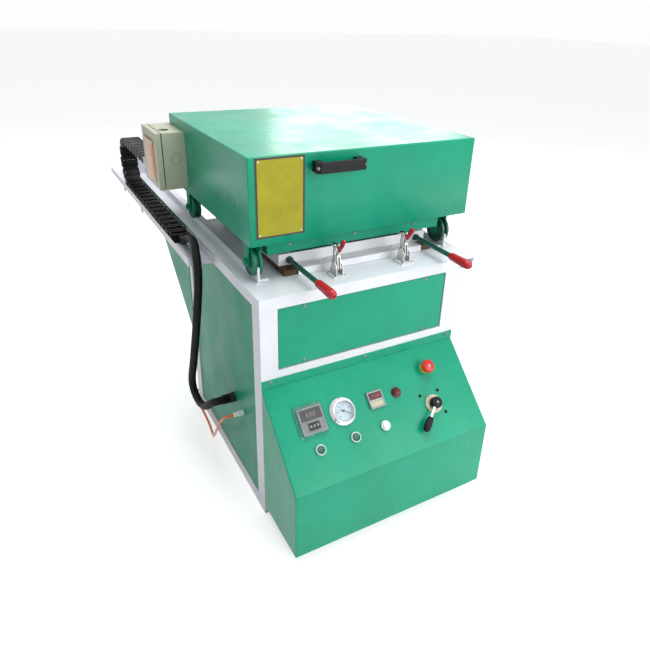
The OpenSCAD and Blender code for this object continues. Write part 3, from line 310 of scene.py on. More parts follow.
amber = finish("amber window", (0.62, 0.22, 0.006), (0.72, 0.28, 0.01), 20, (0.08, 0.16), 0.01,
               Transmission_Weight=0.25, IOR=1.49)
clear = finish("clear window", (0.92, 0.95, 0.96), (0.95, 0.97, 0.98), 20, (0.04, 0.08), 0.005,
               Transmission_Weight=1.0, IOR=1.45)
print("materials:", len(bpy.data.materials))

# %% [markdown]
# ## Finishes on the CAD nodes
# A CAD node whose shape is right is kept. It could be drawn again, but that would only copy its size. It gets its
# material and a small bevel, because no real edge is perfectly sharp and a bevel catches the light. The second
# number is the bevel's width in millimetres.

# %% The finish of each node
NODE_FINISH = {
    # The darker green on the side and rear panels, the hood's skirt and the wheel forks is painted shade.
    "base_frame": (white, 1.4), "rear_extension": (white, 1.4), "side_panels": (green_painted_shade, 0.6),
    "front_panel": (green, 0.8), "rear_panel": (green_painted_shade, 0.6), "console_housing": (green, 0),
    "table_top": (plate_white, 1.2), "vacuum_box": (alloy, 0.5), "seal_strip": (seal, 1.5),
    "clamp_hinges": (zinc, 0.4), "track_rails": (white, 0.8), "cable_tray": (white, 0.5),
    "cable_glands": (black, 0), "air_plug": (zinc, 0), "temperature_controller": (silver_frame, 1.0),
    "gauge_case": (chrome, 0.5), "gauge_needle": (ink, 0), "timer_module": (silver_frame, 0.8),
    "pilot_lamp": (maroon, 0.3), "estop_collar": (yellow, 0.4), "estop_button": (cap_red, 0.5),
    "button_bezels": (chrome, 0.3), "green_button_left": (cap_green, 0.3),
    "green_button_right": (cap_green, 0.3), "white_button": (cap_white, 0.3), "valve_plate": (cream, 0.5),
    "valve_lever": (black, 0.6), "lift_cylinder": (alloy, 0.8), "mould_platen": (alloy, 1.0),
    "vacuum_pump": (pump_paint, 1.5), "toggle_bases": (zinc, 0.3), "left_toggle_arm": (zinc, 0.3),
    "left_toggle_link": (zinc, 0.3), "left_toggle_handle": (zinc, 0.3), "right_toggle_arm": (zinc, 0.3),
    "right_toggle_link": (zinc, 0.3), "right_toggle_handle": (zinc, 0.3), "clamp_frame": (bright_white, 1.2),
    "lift_rods": (rod_green_and_wheel_shade, 0.4), "lift_grips": (red, 1.0), "hood_shell": (green, 0),
    "hood_placard": (enamel, 0.3), "hood_skirt": (green_painted_shade, 0), "heater_bank": (heat_steel, 0.4),
    "hood_handle": (black, 1.5), "wheel_forks": (green_painted_shade, 0.5), "front_left_wheel": (green_wheel, 0.5),
    # The front right wheel's dark green is painted shade: it is the same paint as the other wheels.
    "front_right_wheel": (rod_green_and_wheel_shade, 0.5), "rear_left_wheel": (green_wheel, 0.5),
    "rear_right_wheel": (green_wheel, 0.5), "switch_box_base": (beige, 0.6), "switch_box_cover": (beige, 0.8),
    "switch_box_window": (amber, 0.3), "chain_bracket": (white, 0.5), "chain_upper_run": (black, 0),
    "chain_bend": (black, 0), "chain_lower_run": (black, 0), "conduit_hose": (rubber, 0),
    "air_tube": (orange, 0), "air_tube_coil": (orange, 0),
}
FOLD_ANGLE = math.radians(35)


def add_bevel(piece, width, segments=2):
    bevel = piece.modifiers.new("edge", "BEVEL")
    bevel.width = width
    bevel.segments = segments
    bevel.limit_method = "ANGLE"
    bevel.angle_limit = FOLD_ANGLE
    bevel.use_clamp_overlap = True
    bevel.harden_normals = True


for node_name, (material, edge) in NODE_FINISH.items():
    target = nodes[node_name]
    for material_slot in target.material_slots:
        material_slot.material = material
    if edge:
        add_bevel(target, edge / 1000)
print("nodes with a finish:", len(NODE_FINISH))

# %% [markdown]
# ## Tools for making pieces
# A new piece is a mesh drawn straight in the frame's own metres. Its object stays at the origin, unturned, because
# the export puts every object there. BMesh is used rather than operators: it needs no selection and no context.


# %% From a mesh to a piece
def piece_of(name, mesh, material, body, bevel=0.0, smooth=True, segments=2):
    made = bpy.data.objects.new(name, mesh)
    scene.collection.objects.link(made)
    mesh.materials.append(material)
    if smooth:
        mesh.polygons.foreach_set("use_smooth", [True] * len(mesh.polygons))
        mesh.set_sharp_from_angle(angle=math.radians(38))
    if bevel:
        add_bevel(made, bevel, segments)
    if body:
        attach(made, body)
    return made


def mesh_from(builder):
    work = bmesh.new()
    builder(work)
    bmesh.ops.recalc_face_normals(work, faces=work.faces)
    mesh = bpy.data.meshes.new("mesh")
    work.to_mesh(mesh)
    work.free()
    return mesh


# %% Blocks, turned shapes and plates
def add_block(work, low, high):
    made = bmesh.ops.create_cube(work, size=1)
    size = Vector(high) - Vector(low)
    centre = (Vector(high) + Vector(low)) / 2
    for corner in made["verts"]:
        corner.co = Vector([corner.co[i] * size[i] for i in range(3)]) + centre


def add_lathe(work, profile, seg=48, at=Matrix.Identity(4)):
    """Turns (radius, height) points about the local Z axis. A radius of 0 is a pole."""
    rings = []
    for r, z in profile:
        if r < 1e-6:
            rings.append([work.verts.new(at @ Vector((0, 0, z)))])
        else:
            angles = [math.tau * k / seg for k in range(seg)]
            rings.append([work.verts.new(at @ Vector((r * math.cos(a), r * math.sin(a), z))) for a in angles])
    for low, high in zip(rings, rings[1:]):
        for k in range(seg):
            n = (k + 1) % seg
            corners = [low[k % len(low)], low[n % len(low)], high[n % len(high)], high[k % len(high)]]
            unique = list(dict.fromkeys(corners))
            if len(unique) > 2:
                work.faces.new(unique)


def add_plate(work, outline, thickness, at=Matrix.Identity(4)):
    """An outline of (x, y) points, made thickness deep along the local Z axis."""
    low = [work.verts.new(at @ Vector((x, y, 0))) for x, y in outline]
    high = [work.verts.new(at @ Vector((x, y, thickness))) for x, y in outline]
    work.faces.new(low[::-1])
    work.faces.new(high)
    for k in range(len(outline)):
        n = (k + 1) % len(outline)
        work.faces.new([low[k], low[n], high[n], high[k]])


# %% Outlines and places
def rounded(w, h, r, steps=5):
    """A rounded rectangle round the origin."""
    x, y = w / 2 - r, h / 2 - r
    points = []
    for cx, cy, start in ((x, y, 0), (-x, y, 90), (-x, -y, 180), (x, -y, 270)):
        for k in range(steps + 1):
            a = math.radians(start + 90 * k / steps)
            points.append((cx + r * math.cos(a), cy + r * math.sin(a)))
    return points


def frame_at(origin, x_axis, z_axis):
    """A matrix whose local X and Z point along these directions."""
    z = Vector(z_axis).normalized()
    x = (Vector(x_axis) - Vector(x_axis).dot(z) * z).normalized()
    y = z.cross(x)
    return Matrix(((x[0], y[0], z[0], origin[0]), (x[1], y[1], z[1], origin[1]),
                   (x[2], y[2], z[2], origin[2]), (0, 0, 0, 1)))


def across_x(x):
    """A matrix for an outline drawn in the YZ plane and made thick along X, from x."""
    return Matrix(((0, 0, 1, x), (1, 0, 0, 0), (0, 1, 0, 0), (0, 0, 0, 1)))


RIGHT, FRONT, LEFT, UP = (1, 0, 0), (0, -1, 0), (-1, 0, 0), (0, 0, 1)

# %% [markdown]
# ## The console's slope
# The instruments stand on a sloping sheet. Working them out in its own plane is much easier than in the room's: u
# runs to the right and v down the slope, both in millimetres from its top left corner, and h stands out of it.

# %% A place on the slope
SLOPE_OUT = Vector((0, -0.690377, 0.723449))
SLOPE_DOWN = Vector((0, -0.723449, -0.690377))
SLOPE_TOP = Vector((-0.3215, -0.025, 0.4484))
SLOPE_RIGHT = Vector(RIGHT)


def on_slope(u, v, h=0.0):
    at = SLOPE_TOP + Vector((u / 1000, 0, 0)) + SLOPE_DOWN * v / 1000 + SLOPE_OUT * h / 1000
    return frame_at(at, RIGHT, SLOPE_OUT)


def slope_arm(angle):
    """The direction in the slope's plane at this angle, counted from the right."""
    return SLOPE_RIGHT * math.cos(angle) - SLOPE_DOWN * math.sin(angle)


def as_place(point, facing, along):
    return tuple(point), tuple(facing), tuple(along)


# %% [markdown]
# ## Repeated pieces with Geometry Nodes
# Screws, ticks and chain links are one small mesh in many places. A mesh of bare points carries, for each copy, the
# way it faces and the way it lies. The node tree puts a copy on every point, turns it, makes the copies real and
# sets their material. The result is read back as a plain mesh, because instances are lost in an export.


# %% The Scatter tree
def make_scatter_tree():
    tree = bpy.data.node_groups.new("Scatter", "GeometryNodeTree")
    for label, kind, way in (("Geometry", "NodeSocketGeometry", "INPUT"), ("Piece", "NodeSocketObject", "INPUT"),
                             ("Material", "NodeSocketMaterial", "INPUT"),
                             ("Geometry", "NodeSocketGeometry", "OUTPUT")):
        tree.interface.new_socket(label, in_out=way, socket_type=kind)
    start = tree.nodes.new("NodeGroupInput")
    end = tree.nodes.new("NodeGroupOutput")
    facing = wire(tree, "GeometryNodeInputNamedAttribute", {"Name": "facing"}, data_type="FLOAT_VECTOR")
    along = wire(tree, "GeometryNodeInputNamedAttribute", {"Name": "along"}, data_type="FLOAT_VECTOR")
    turn = wire(tree, "FunctionNodeAlignRotationToVector", {"Vector": facing.outputs["Attribute"]}, axis="Z")
    turn_again = wire(tree, "FunctionNodeAlignRotationToVector",
                      {"Rotation": turn.outputs[0], "Vector": along.outputs["Attribute"]}, axis="X",
                      pivot_axis="Z")
    source = wire(tree, "GeometryNodeObjectInfo", {"Object": start.outputs["Piece"]})
    points = wire(tree, "GeometryNodeMeshToPoints", {"Mesh": start.outputs["Geometry"]})
    copies = wire(tree, "GeometryNodeInstanceOnPoints",
                  {"Points": points.outputs[0], "Instance": source.outputs["Geometry"],
                   "Rotation": turn_again.outputs[0]})
    real = wire(tree, "GeometryNodeRealizeInstances", {"Geometry": copies.outputs[0]})
    painted = wire(tree, "GeometryNodeSetMaterial", {"Geometry": real.outputs[0],
                                                     "Material": start.outputs["Material"]})
    tree.links.new(painted.outputs[0], end.inputs[0])
    return tree


SCATTER = make_scatter_tree()


# %% Using the Scatter tree
def scatter(name, proto, places, material, body):
    """Copies proto, a mesh round the origin, to each (place, facing, along), as one mesh."""
    prototype = bpy.data.objects.new(name + "_one", proto)
    scene.collection.objects.link(prototype)
    seeds = bpy.data.meshes.new(name + "_points")
    seeds.from_pydata([p[0] for p in places], [], [])
    for k, label in ((1, "facing"), (2, "along")):
        layer = seeds.attributes.new(label, "FLOAT_VECTOR", "POINT")
        layer.data.foreach_set("vector", [c for p in places for c in p[k]])
    holder = bpy.data.objects.new(name + "_holder", seeds)
    scene.collection.objects.link(holder)
    modifier = holder.modifiers.new("scatter", "NODES")
    modifier.node_group = SCATTER
    inputs = [s.identifier for s in SCATTER.interface.items_tree if s.in_out == "INPUT"]
    modifier[inputs[1]] = prototype
    modifier[inputs[2]] = material
    bpy.context.view_layer.update()
    done = bpy.data.meshes.new_from_object(holder.evaluated_get(bpy.context.evaluated_depsgraph_get()))
    done.materials.clear()
    bpy.data.objects.remove(holder)
    bpy.data.objects.remove(prototype)
    print(name, len(places), "copies")
    return piece_of(name, done, material, body)


# %% [markdown]
# ## The two free cords
# A stiff ribbed conduit hangs from the cable chain and goes back into the cabinet. A thin air tube drops to the
# floor, and the length that the photograph doesn't show lies in a neat coil behind the machine. A curve with a bevel
# would do, but a tube drawn as a mesh can be ribbed. Each follows a Catmull-Rom curve through a few chosen points.

# %% Routes, in millimetres
HOSE = [(-361, 522.4, 700.5), (-361, 515, 700.5), (-361, 507, 700.8), (-360, 488, 706), (-359, 464, 717),
        (-358, 435, 729), (-360, 400, 736), (-364, 365, 735), (-369, 338, 723), (-374, 312, 698), (-379, 296, 655),
        (-386, 292, 596), (-393, 302, 512), (-398, 326, 420), (-401, 352, 340), (-402, 379, 280), (-402, 386, 240),
        (-400, 372, 210), (-397, 335, 198), (-394, 295, 208), (-391, 262, 230), (-387, 236, 254), (-380, 219, 268),
        (-371, 213, 272), (-365, 213, 272), (-359, 213, 272)]
AIR = [(-349, 140, 262), (-353, 140, 262), (-357, 140, 262), (-367, 144, 259), (-375, 154, 248), (-379, 170, 228),
       (-380, 192, 200), (-379, 222, 160), (-375, 257, 118), (-369, 294, 78), (-361, 332, 45), (-352, 372, 22),
       (-345, 412, 10.5), (-340, 452, 6), (-337, 500, 4.6), (-336, 555, 4.3), (-335, 605, 4.3), (-331, 640, 4.3),
       (-316, 668, 4.3), (-284, 681, 4.3), (-240, 685, 4.3), (-205, 686, 4.3), (-182, 685.5, 4.3)]
TO_PLUG = [(-120.5, 733, 12.7), (-118.3, 742, 12.7), (-113.5, 749.5, 12.0), (-106, 753, 9.0)]


# %% A smooth path and a tube along it
def smooth_path(points, step):
    """A Catmull-Rom curve through points in millimetres, in metres and evenly spaced, and its length."""
    p = np.array(points, float) / 1000
    ends = np.vstack([p[0], p, p[-1]])
    curve = []
    for i in range(1, len(ends) - 2):
        a, b, c, d = ends[i - 1:i + 3]
        for f in np.linspace(0, 1, 12, endpoint=False):
            curve.append(b + 0.5 * f * (c - a + f * (2 * a - 5 * b + 4 * c - d + f * (3 * (b - c) + d - a))))
    curve = np.array(curve + [p[-1]])
    travel = np.concatenate([[0], np.cumsum(np.linalg.norm(np.diff(curve, axis=0), axis=1))])
    even = np.linspace(0, travel[-1], max(2, int(travel[-1] / step)) + 1)
    return np.stack([np.interp(even, travel, curve[:, k]) for k in range(3)], 1), travel[-1]


def tube_mesh(path, radius_at, sides):
    """A closed tube along the path, its radius a function of the point's number."""
    tangents = np.gradient(path, axis=0)
    tangents /= np.linalg.norm(tangents, axis=1)[:, None]
    normal = np.cross(tangents[0], (0, 0, 1.0))
    verts, faces = [], []
    for i, t in enumerate(tangents):
        normal = normal - normal.dot(t) * t
        normal /= np.linalg.norm(normal)
        other = np.cross(t, normal)
        for k in range(sides):
            a = math.tau * k / sides
            verts.append(path[i] + radius_at(i) * (math.cos(a) * normal + math.sin(a) * other))
        if i:
            low, high = (i - 1) * sides, i * sides
            faces += [[low + k, low + (k + 1) % sides, high + (k + 1) % sides, high + k] for k in range(sides)]
    faces += [list(range(sides))[::-1], [len(verts) - sides + k for k in range(sides)]]
    mesh = bpy.data.meshes.new("tube")
    mesh.from_pydata([tuple(v) for v in verts], [], faces)
    return mesh


# %% Conduit hose
RIB_TOP, RIB_FOOT, RIB_STEP = 0.0124, 0.0119, 0.0022
hose_path, hose_length = smooth_path(HOSE, RIB_STEP)
hose = piece_of("conduit_hose_ribbed", tube_mesh(hose_path, lambda i: RIB_TOP if i % 2 else RIB_FOOT, 24), rubber,
                "cabinet")
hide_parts("conduit_hose")
print("conduit hose:", round(hose_length, 3), "m")

# %% [markdown]
# The coil starts wide on the floor and winds inwards for two turns. Then it climbs by one tube in a quarter turn
# and winds outwards on top of itself, so that its end comes out towards the plug and the tube never cuts itself.

# %% Air tube and its coil, in millimetres
COIL_CENTRE = (-160, 735)
COIL_OUTER, COIL_INNER, COIL_TIGHTEST = 49, 32.4, 31.0
LOWER_TURNS, CLIMB_TURNS, ALL_TURNS, TURN_STEPS = 2, 0.25, 3.22, 24
TURN_GAP, TUBE_Z, TUBE_LIFT, TUBE_R = 8.3, 4.3, 8.4, 0.0039
turns = []
for k in range(int(ALL_TURNS * TURN_STEPS) + 1):
    turn = k / TURN_STEPS
    angle = math.tau * turn - math.pi / 2
    if turn < LOWER_TURNS:
        wide, level = COIL_OUTER - TURN_GAP * turn, TUBE_Z
    else:
        climb = min(1, (turn - LOWER_TURNS) / CLIMB_TURNS)
        wide = COIL_INNER - (COIL_INNER - COIL_TIGHTEST) * climb
        wide += TURN_GAP * max(0, turn - LOWER_TURNS - CLIMB_TURNS)
        level = TUBE_Z + TUBE_LIFT * climb
    turns.append((COIL_CENTRE[0] + wide * math.cos(angle), COIL_CENTRE[1] + wide * math.sin(angle), level))
air_path, air_length = smooth_path(AIR + turns + TO_PLUG, 0.003)
air = piece_of("air_tube_run", tube_mesh(air_path, lambda i: TUBE_R, 12), orange, "cabinet")
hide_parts("air_tube", "air_tube_coil")
print("air tube:", round(air_length, 3), "m")

# %% [markdown]
# ## Hood and console as folded sheets
# Both are one painted sheet with soft bends. The hood is a box open underneath: its bottom face goes, Bevel rounds
# the folds and Solidify gives the sheet its wall. The console is its side outline, made thick along its width.

# %% Hood cover
HOOD_LOW, HOOD_HIGH = (-0.307, 0.059, 0.822), (0.393, 0.756, 1.048)


def open_box(work):
    add_block(work, HOOD_LOW, HOOD_HIGH)
    bmesh.ops.recalc_face_normals(work, faces=work.faces)
    bmesh.ops.delete(work, geom=[f for f in work.faces if f.normal.z < -0.9], context="FACES")


hood = piece_of("hood_cover", mesh_from(open_box), green, "hood", bevel=0.0035, segments=4)
sheet = hood.modifiers.new("sheet", "SOLIDIFY")
sheet.thickness = 0.002
sheet.offset = -1
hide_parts("hood_shell")

# %% Console cover and its lip
CONSOLE_SIDE = [(-0.025, 0.031), (-0.235, 0.031), (-0.235, 0.248), (-0.025, 0.4484)]
CONSOLE_LEFT, CONSOLE_W = -0.3215, 0.643
CONSOLE_RIGHT = CONSOLE_LEFT + CONSOLE_W
cover = mesh_from(lambda work: add_plate(work, CONSOLE_SIDE, CONSOLE_W, across_x(CONSOLE_LEFT)))
console = piece_of("console_cover", cover, green, "cabinet", bevel=0.003, segments=4)
edge_strip = mesh_from(lambda work: add_block(work, (CONSOLE_LEFT, -0.0275, 0.4475), (CONSOLE_RIGHT, -0.025, 0.474)))
lip = piece_of("console_lip", edge_strip, green, "cabinet", bevel=0.0008)
for made in (console, lip):
    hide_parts("console_housing")

# %% [markdown]
# ## Screws
# The panels are held by pan-head screws. One dome is turned and gets a raised cross, then it is scattered. Each
# row is turned to another angle, because screws stop where they are tight.


# %% One screw, many places
def screw_head(r, h):
    def build(work):
        add_lathe(work, [(0, h), (0.55 * r, 0.97 * h), (0.85 * r, 0.7 * h), (r, 0.15 * h), (r, 0)], 20)
        for turn in (0, math.pi / 2):
            arm = Matrix.Rotation(turn, 4, "Z")
            for v in bmesh.ops.create_cube(work, size=1)["verts"]:
                v.co = arm @ Vector((v.co.x * 1.1 * r, v.co.y * 0.2 * r, v.co.z * 0.1 * r + 0.96 * h))
    return mesh_from(build)


panel_screws = [((x, -0.022, z), FRONT, (0.8, 0, 0.6)) for x in (-0.194, 0.2) for z in (0.508, 0.671)]
panel_screws += [((x, -0.0275, 0.4665), FRONT, (0.9, 0, -0.4)) for x in (-0.295, 0.0, 0.297)]
panel_screws += [((-0.3185, y, z), LEFT, (0, 0.7, 0.7))
                 for y, z in ((0.0397, 0.563), (0.555, 0.173), (0.052, 0.163))]
scatter("panel_screws", screw_head(0.005, 0.0028), panel_screws, dull_steel, "cabinet")
skirt_screws = [((x, 0.084, 0.806), FRONT, (0.6, 0, 0.8)) for x in (-0.186, 0.014, 0.214)]
scatter("skirt_screws", screw_head(0.004, 0.0022), skirt_screws, dull_steel, "hood")
valve_screws = [as_place(on_slope(u, v).translation, SLOPE_OUT, SLOPE_DOWN)
                for u, v in ((457, 145.5), (522, 145), (522, 212))]
scatter("valve_screws", screw_head(0.005, 0.003), valve_screws, black, "cabinet")

# %% [markdown]
# ## Hood details
# The plain enamelled plate has a dark edge and four rivets. The pull handle has a screw at each end. Each axle
# shows its round end on the fork's nut, whose outer face is read from the CAD node so that the two always meet.

# %% Placard edge and rivets
PLATE_X, PLATE_Z, PLATE_Y = (-0.2888, -0.1552), (0.8412, 1.0448), 0.058


def add_border(work, wide=0.005, deep=0.0004):
    (x0, x1), (z0, z1) = PLATE_X, PLATE_Z
    for low, high in (((x0, z0), (x1, z0 + wide)), ((x0, z1 - wide), (x1, z1)),
                      ((x0, z0 + wide), (x0 + wide, z1 - wide)), ((x1 - wide, z0 + wide), (x1, z1 - wide))):
        add_block(work, (low[0], PLATE_Y - deep, low[1]), (high[0], PLATE_Y, high[1]))


piece_of("placard_edge", mesh_from(add_border), ink, "hood")
rivets = [((x, PLATE_Y, z), FRONT, RIGHT) for x in (-0.2795, -0.1645) for z in (0.8505, 1.0355)]
dome = mesh_from(lambda work: add_lathe(work, [(0, 0.0013), (0.0014, 0.001), (0.0024, 0)], 16))
scatter("placard_rivets", dome, rivets, alloy, "hood")

# %% Handle screws and axle ends
PULL_X, PULL_REACH, AXLE_Z = -0.0650, 0.0690, 0.7643
pull_screws = [((PULL_X + s * PULL_REACH, 0.0269, 1.014), (s, -1, 0), UP) for s in (-1, 1)]
scatter("handle_screws", screw_head(0.0042, 0.0012), pull_screws, dull_steel, "hood")
axle_profile = [(0, 0.0024), (0.0036, 0.0022), (0.0044, 0.0014), (0.0044, 0)]
axle_end = mesh_from(lambda work: add_lathe(work, axle_profile, 24))
nut_faces = [corner[0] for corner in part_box("wheel_forks")]
bolts = [((x, y, AXLE_Z), (side, 0, 0), UP) for x, side in zip(nut_faces, (-1, 1)) for y in (0.113, 0.635)]
# The axle ends take the darker green of the forks, which is painted shade.
scatter("axle_bolts", axle_end, bolts, green_painted_shade, "hood")

# %% [markdown]
# ## Cable chain
# A real chain is one moulded link again and again, each held by two pins. Its bend travels at half the hood's
# speed. Here one link is built and copied with Geometry Nodes into three pieces. The lower run is a fixed row from
# the cabinet to the bend, the bend rides on its own body and keeps its shape, and the upper run rides on the hood.

# %% The chain's sizes
CHAIN_X, CHAIN_Z, BEND_Y, PITCH = -0.3615, 0.7005, 1.167, 0.048
LOWER_LINKS, BEND_LINKS, UPPER_LINKS = 13, 6, 7
HALF_STEP = math.pi / 2 / BEND_LINKS
BEND_R = PITCH / 2 / math.tan(HALF_STEP)
CHAIN_TOP = CHAIN_Z + PITCH / math.sin(HALF_STEP)
BEND_Z = (CHAIN_Z + CHAIN_TOP) / 2
LINK_HALF, LUG_T, LUG_R, COVER_T = 0.031, 0.003, 0.0124, 0.003
print("bend radius:", round(BEND_R, 4), "upper run at z", round(CHAIN_TOP, 4))


# %% One link
def add_lug(work, x, wide, y1, r):
    """A plate from the link's middle, with a round end at y1, standing across X."""
    side = 1 if y1 > 0 else -1
    points = [(0, -r), (0, r)]
    points += [(y1 + side * r * math.sin(a), r * math.cos(a)) for a in np.linspace(0, math.pi, 13)]
    if side < 0:
        points = points[::-1]
    add_plate(work, points, wide, across_x(x))


def chain_link(work, cover):
    """Cover is half the length of the two plates that close the link."""
    inner = LINK_HALF - LUG_T - 0.0003
    for s in (-1, 1):
        add_lug(work, -LINK_HALF if s < 0 else LINK_HALF - LUG_T, LUG_T, PITCH / 2, LUG_R)
        add_lug(work, -inner if s < 0 else inner - LUG_T, LUG_T, -PITCH / 2, LUG_R)
        add_lathe(work, [(0.0045, 0), (0.0045, 0.0006), (0.003, 0.0009), (0, 0.0009)], 14,
                  frame_at((s * LINK_HALF, PITCH / 2, 0), (0, 1, 0), (s, 0, 0)))
    for z in (-LUG_R, LUG_R - COVER_T):
        top = z + 0.0034 if z > 0 else z + 0.002
        add_block(work, (0.0035 - inner, -cover, z), (inner - 0.0035, cover, z + COVER_T))
        add_block(work, (-LINK_HALF + 0.0006, -0.005, z), (LINK_HALF - 0.0006, 0.005, z + COVER_T))
        for x in (-0.012, 0.012):
            add_block(work, (x - 0.001, 0.0003 - cover, z + 0.0004), (x + 0.001, cover - 0.0003, top))


open_link = mesh_from(lambda work: chain_link(work, 0.0125))
closed_link = mesh_from(lambda work: chain_link(work, 0.0206))


# %% Lower run, bend and upper run
def straight(count, z, facing):
    return [((CHAIN_X, BEND_Y - (i + 0.5) * PITCH, z), facing, RIGHT) for i in range(count)]


lower_run = scatter("chain_lower_links", open_link, straight(LOWER_LINKS, CHAIN_Z, UP), black, None)
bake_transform(lower_run)
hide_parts("chain_lower_run")
bend = []
for i in range(BEND_LINKS):
    a = (2 * i + 1) * HALF_STEP
    bend.append(((CHAIN_X, BEND_Y + BEND_R * math.sin(a), BEND_Z - BEND_R * math.cos(a)),
                 (0, -math.sin(a), math.cos(a)), RIGHT))
bend_run = scatter("chain_bend_links", closed_link, bend, black, "chain_bend")
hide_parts("chain_bend")
upper_run = scatter("chain_upper_links", closed_link, straight(UPPER_LINKS, CHAIN_TOP, (0, 0, -1)), black, "hood")
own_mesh(upper_run)
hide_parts("chain_upper_run")


# %% The chain's fixed end
def chain_anchor(work):
    y = BEND_Y - LOWER_LINKS * PITCH
    add_block(work, (CHAIN_X - LINK_HALF, y - 0.0205, CHAIN_Z - 0.0155),
              (CHAIN_X + LINK_HALF, y - 0.0145, CHAIN_Z + 0.0125))
    for x in (-0.024, 0.020):
        add_block(work, (CHAIN_X + x, y - 0.0145, CHAIN_Z - 0.008),
                  (CHAIN_X + x + 0.004, y + 0.006, CHAIN_Z + 0.008))


anchor = piece_of("chain_anchor", mesh_from(chain_anchor), black, "cabinet", bevel=0.0006)
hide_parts("chain_lower_run")

# %% [markdown]
# ## Glands
# A ribbed black sleeve ends the conduit, and a white gland with a nut holds the air tube. Both are turned parts, so
# each is one profile, lathed about the hole's axis. The ribs are built by a loop in the profile.

# %% Glands on the left panel
PANEL_X, HOSE_HOLE, AIR_HOLE = -0.3185, (0.213, 0.272), (0.14, 0.262)
sleeve_profile = [(0.0, 0.0405)]
for k in range(9):
    foot = 0.0405 - 0.0028 * k
    sleeve_profile += [(0.0138, foot - 0.0002), (0.0156, foot - 0.0012), (0.0138, foot - 0.0024)]
sleeve_profile += [(0.0158, 0.013), (0.0158, 0)]
gland_profile = [(0, 0.0305), (0.0052, 0.0305), (0.0066, 0.0295), (0.0072, 0.026), (0.0072, 0.0255), (0.0062, 0.025),
                 (0.0062, 0.0235), (0.0072, 0.023), (0.0072, 0.0175), (0.0062, 0.017), (0.0062, 0.0155),
                 (0.0088, 0.015), (0.0088, 0.0065), (0.007, 0.006), (0.007, 0.0045), (0.0089, 0.004), (0.0089, 0)]
for name, outline, seg, hole, material, slot_name in (
        ("conduit_sleeve", sleeve_profile, 36, HOSE_HOLE, black, "black_plastic"),
        ("air_gland", gland_profile, 32, AIR_HOLE, bright_white, "frame_white")):
    place = frame_at((PANEL_X, *hole), UP, LEFT)
    made = piece_of(name, mesh_from(lambda work: add_lathe(work, outline, seg, place)), material, "cabinet")
    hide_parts("cable_glands")

# %% [markdown]
# ## Plates and digits for the instruments
# Every display uses seven-segment digits, so one function draws any digit from seven bars. A second makes the thin
# rounded plates that the faces of the instruments are built from.

# %% Seven-segment digits
SEGMENTS = {"0": "abcdef", "1": "bc", "2": "abged", "3": "abgcd", "4": "fgbc", "5": "afgcd", "6": "afgedc",
            "7": "abc", "8": "abcdefg", "9": "abfgcd"}


def add_digit(work, place, mark, wide, tall, line, deep=0.0002):
    """A seven-segment digit round the origin of place."""
    w, h, t = wide / 2, tall / 2, line
    boxes = {"a": (-w, h - t, w, h), "d": (-w, -h, w, t - h), "g": (-w, -t / 2, w, t / 2), "f": (-w, 0, t - w, h),
             "b": (w - t, 0, w, h), "e": (-w, -h, t - w, 0), "c": (w - t, -h, w, 0)}
    for name in SEGMENTS[mark]:
        x0, y0, x1, y1 = boxes[name]
        if name in "adg":
            x0, x1 = x0 + 0.3 * t, x1 - 0.3 * t
        add_plate(work, [(x0, y0), (x1, y0), (x1, y1), (x0, y1)], deep, place)


# %% Plates and rows of digits on the slope
def slope_plate(name, u, v, w, h, low, high, material, r=0.001):
    """A rounded plate on the slope, from low to high above it, all in millimetres but the corner."""
    mesh = mesh_from(lambda work: add_plate(work, rounded(w / 1000, h / 1000, r), (high - low) / 1000,
                                            on_slope(u, v, low)))
    return piece_of(name, mesh, material, "cabinet", bevel=0.0002)


def digits_on_slope(name, text, u, v, step, wide, tall, line, height, material):
    def build(work):
        for i, mark in enumerate(text):
            place = on_slope(u + (i - (len(text) - 1) / 2) * step, v, height)
            add_digit(work, place, mark, wide / 1000, tall / 1000, line / 1000)
    return piece_of(name, mesh_from(build), material, "cabinet", smooth=False)


def turned_on_slope(name, outline, seg, u, v, h, material, body="cabinet"):
    """A shape lathed about an axis that stands on the slope."""
    return piece_of(name, mesh_from(lambda work: add_lathe(work, outline, seg, on_slope(u, v, h))), material, body)


# %% [markdown]
# ## Temperature controller
# Its upper half is a dark display and its lower half grey, with three thumbwheels. A clear cover stands over it,
# made as two nested walls with a rim between them so that the glass has a real thickness.

# %% Controller face and wheels
slope_plate("controller_dark_half", 108, 99.5, 62, 31, 6, 6.6, dark_face)
slope_plate("controller_grey_half", 108, 131.5, 62, 30, 6, 6.6, grey_face)
slope_plate("controller_display", 108, 99.5, 38, 16, 6.6, 6.9, window_tint)
digits_on_slope("controller_digits", "888", 108, 99.5, 11, 7, 12, 1.3, 6.9, pale_segment)
slope_plate("controller_setting_block", 108, 132, 34, 21, 6.6, 8.2, black, 0.0015)
wheels = [as_place(on_slope(108 + i * 10.5, 132, 5.4).translation, RIGHT, SLOPE_OUT) for i in (-1, 0, 1)]
thumbwheel = mesh_from(lambda work: add_lathe(work, [(0, -0.003), (0.0042, -0.003), (0.0046, -0.0026),
                                                     (0.0046, 0.0026), (0.0042, 0.003), (0, 0.003)], 20))
scatter("controller_thumbwheels", thumbwheel, wheels, grey_face, "cabinet")
digits_on_slope("controller_set_digits", "120", 108, 132, 10.5, 3, 5, 0.7, 9.98, cap_white)


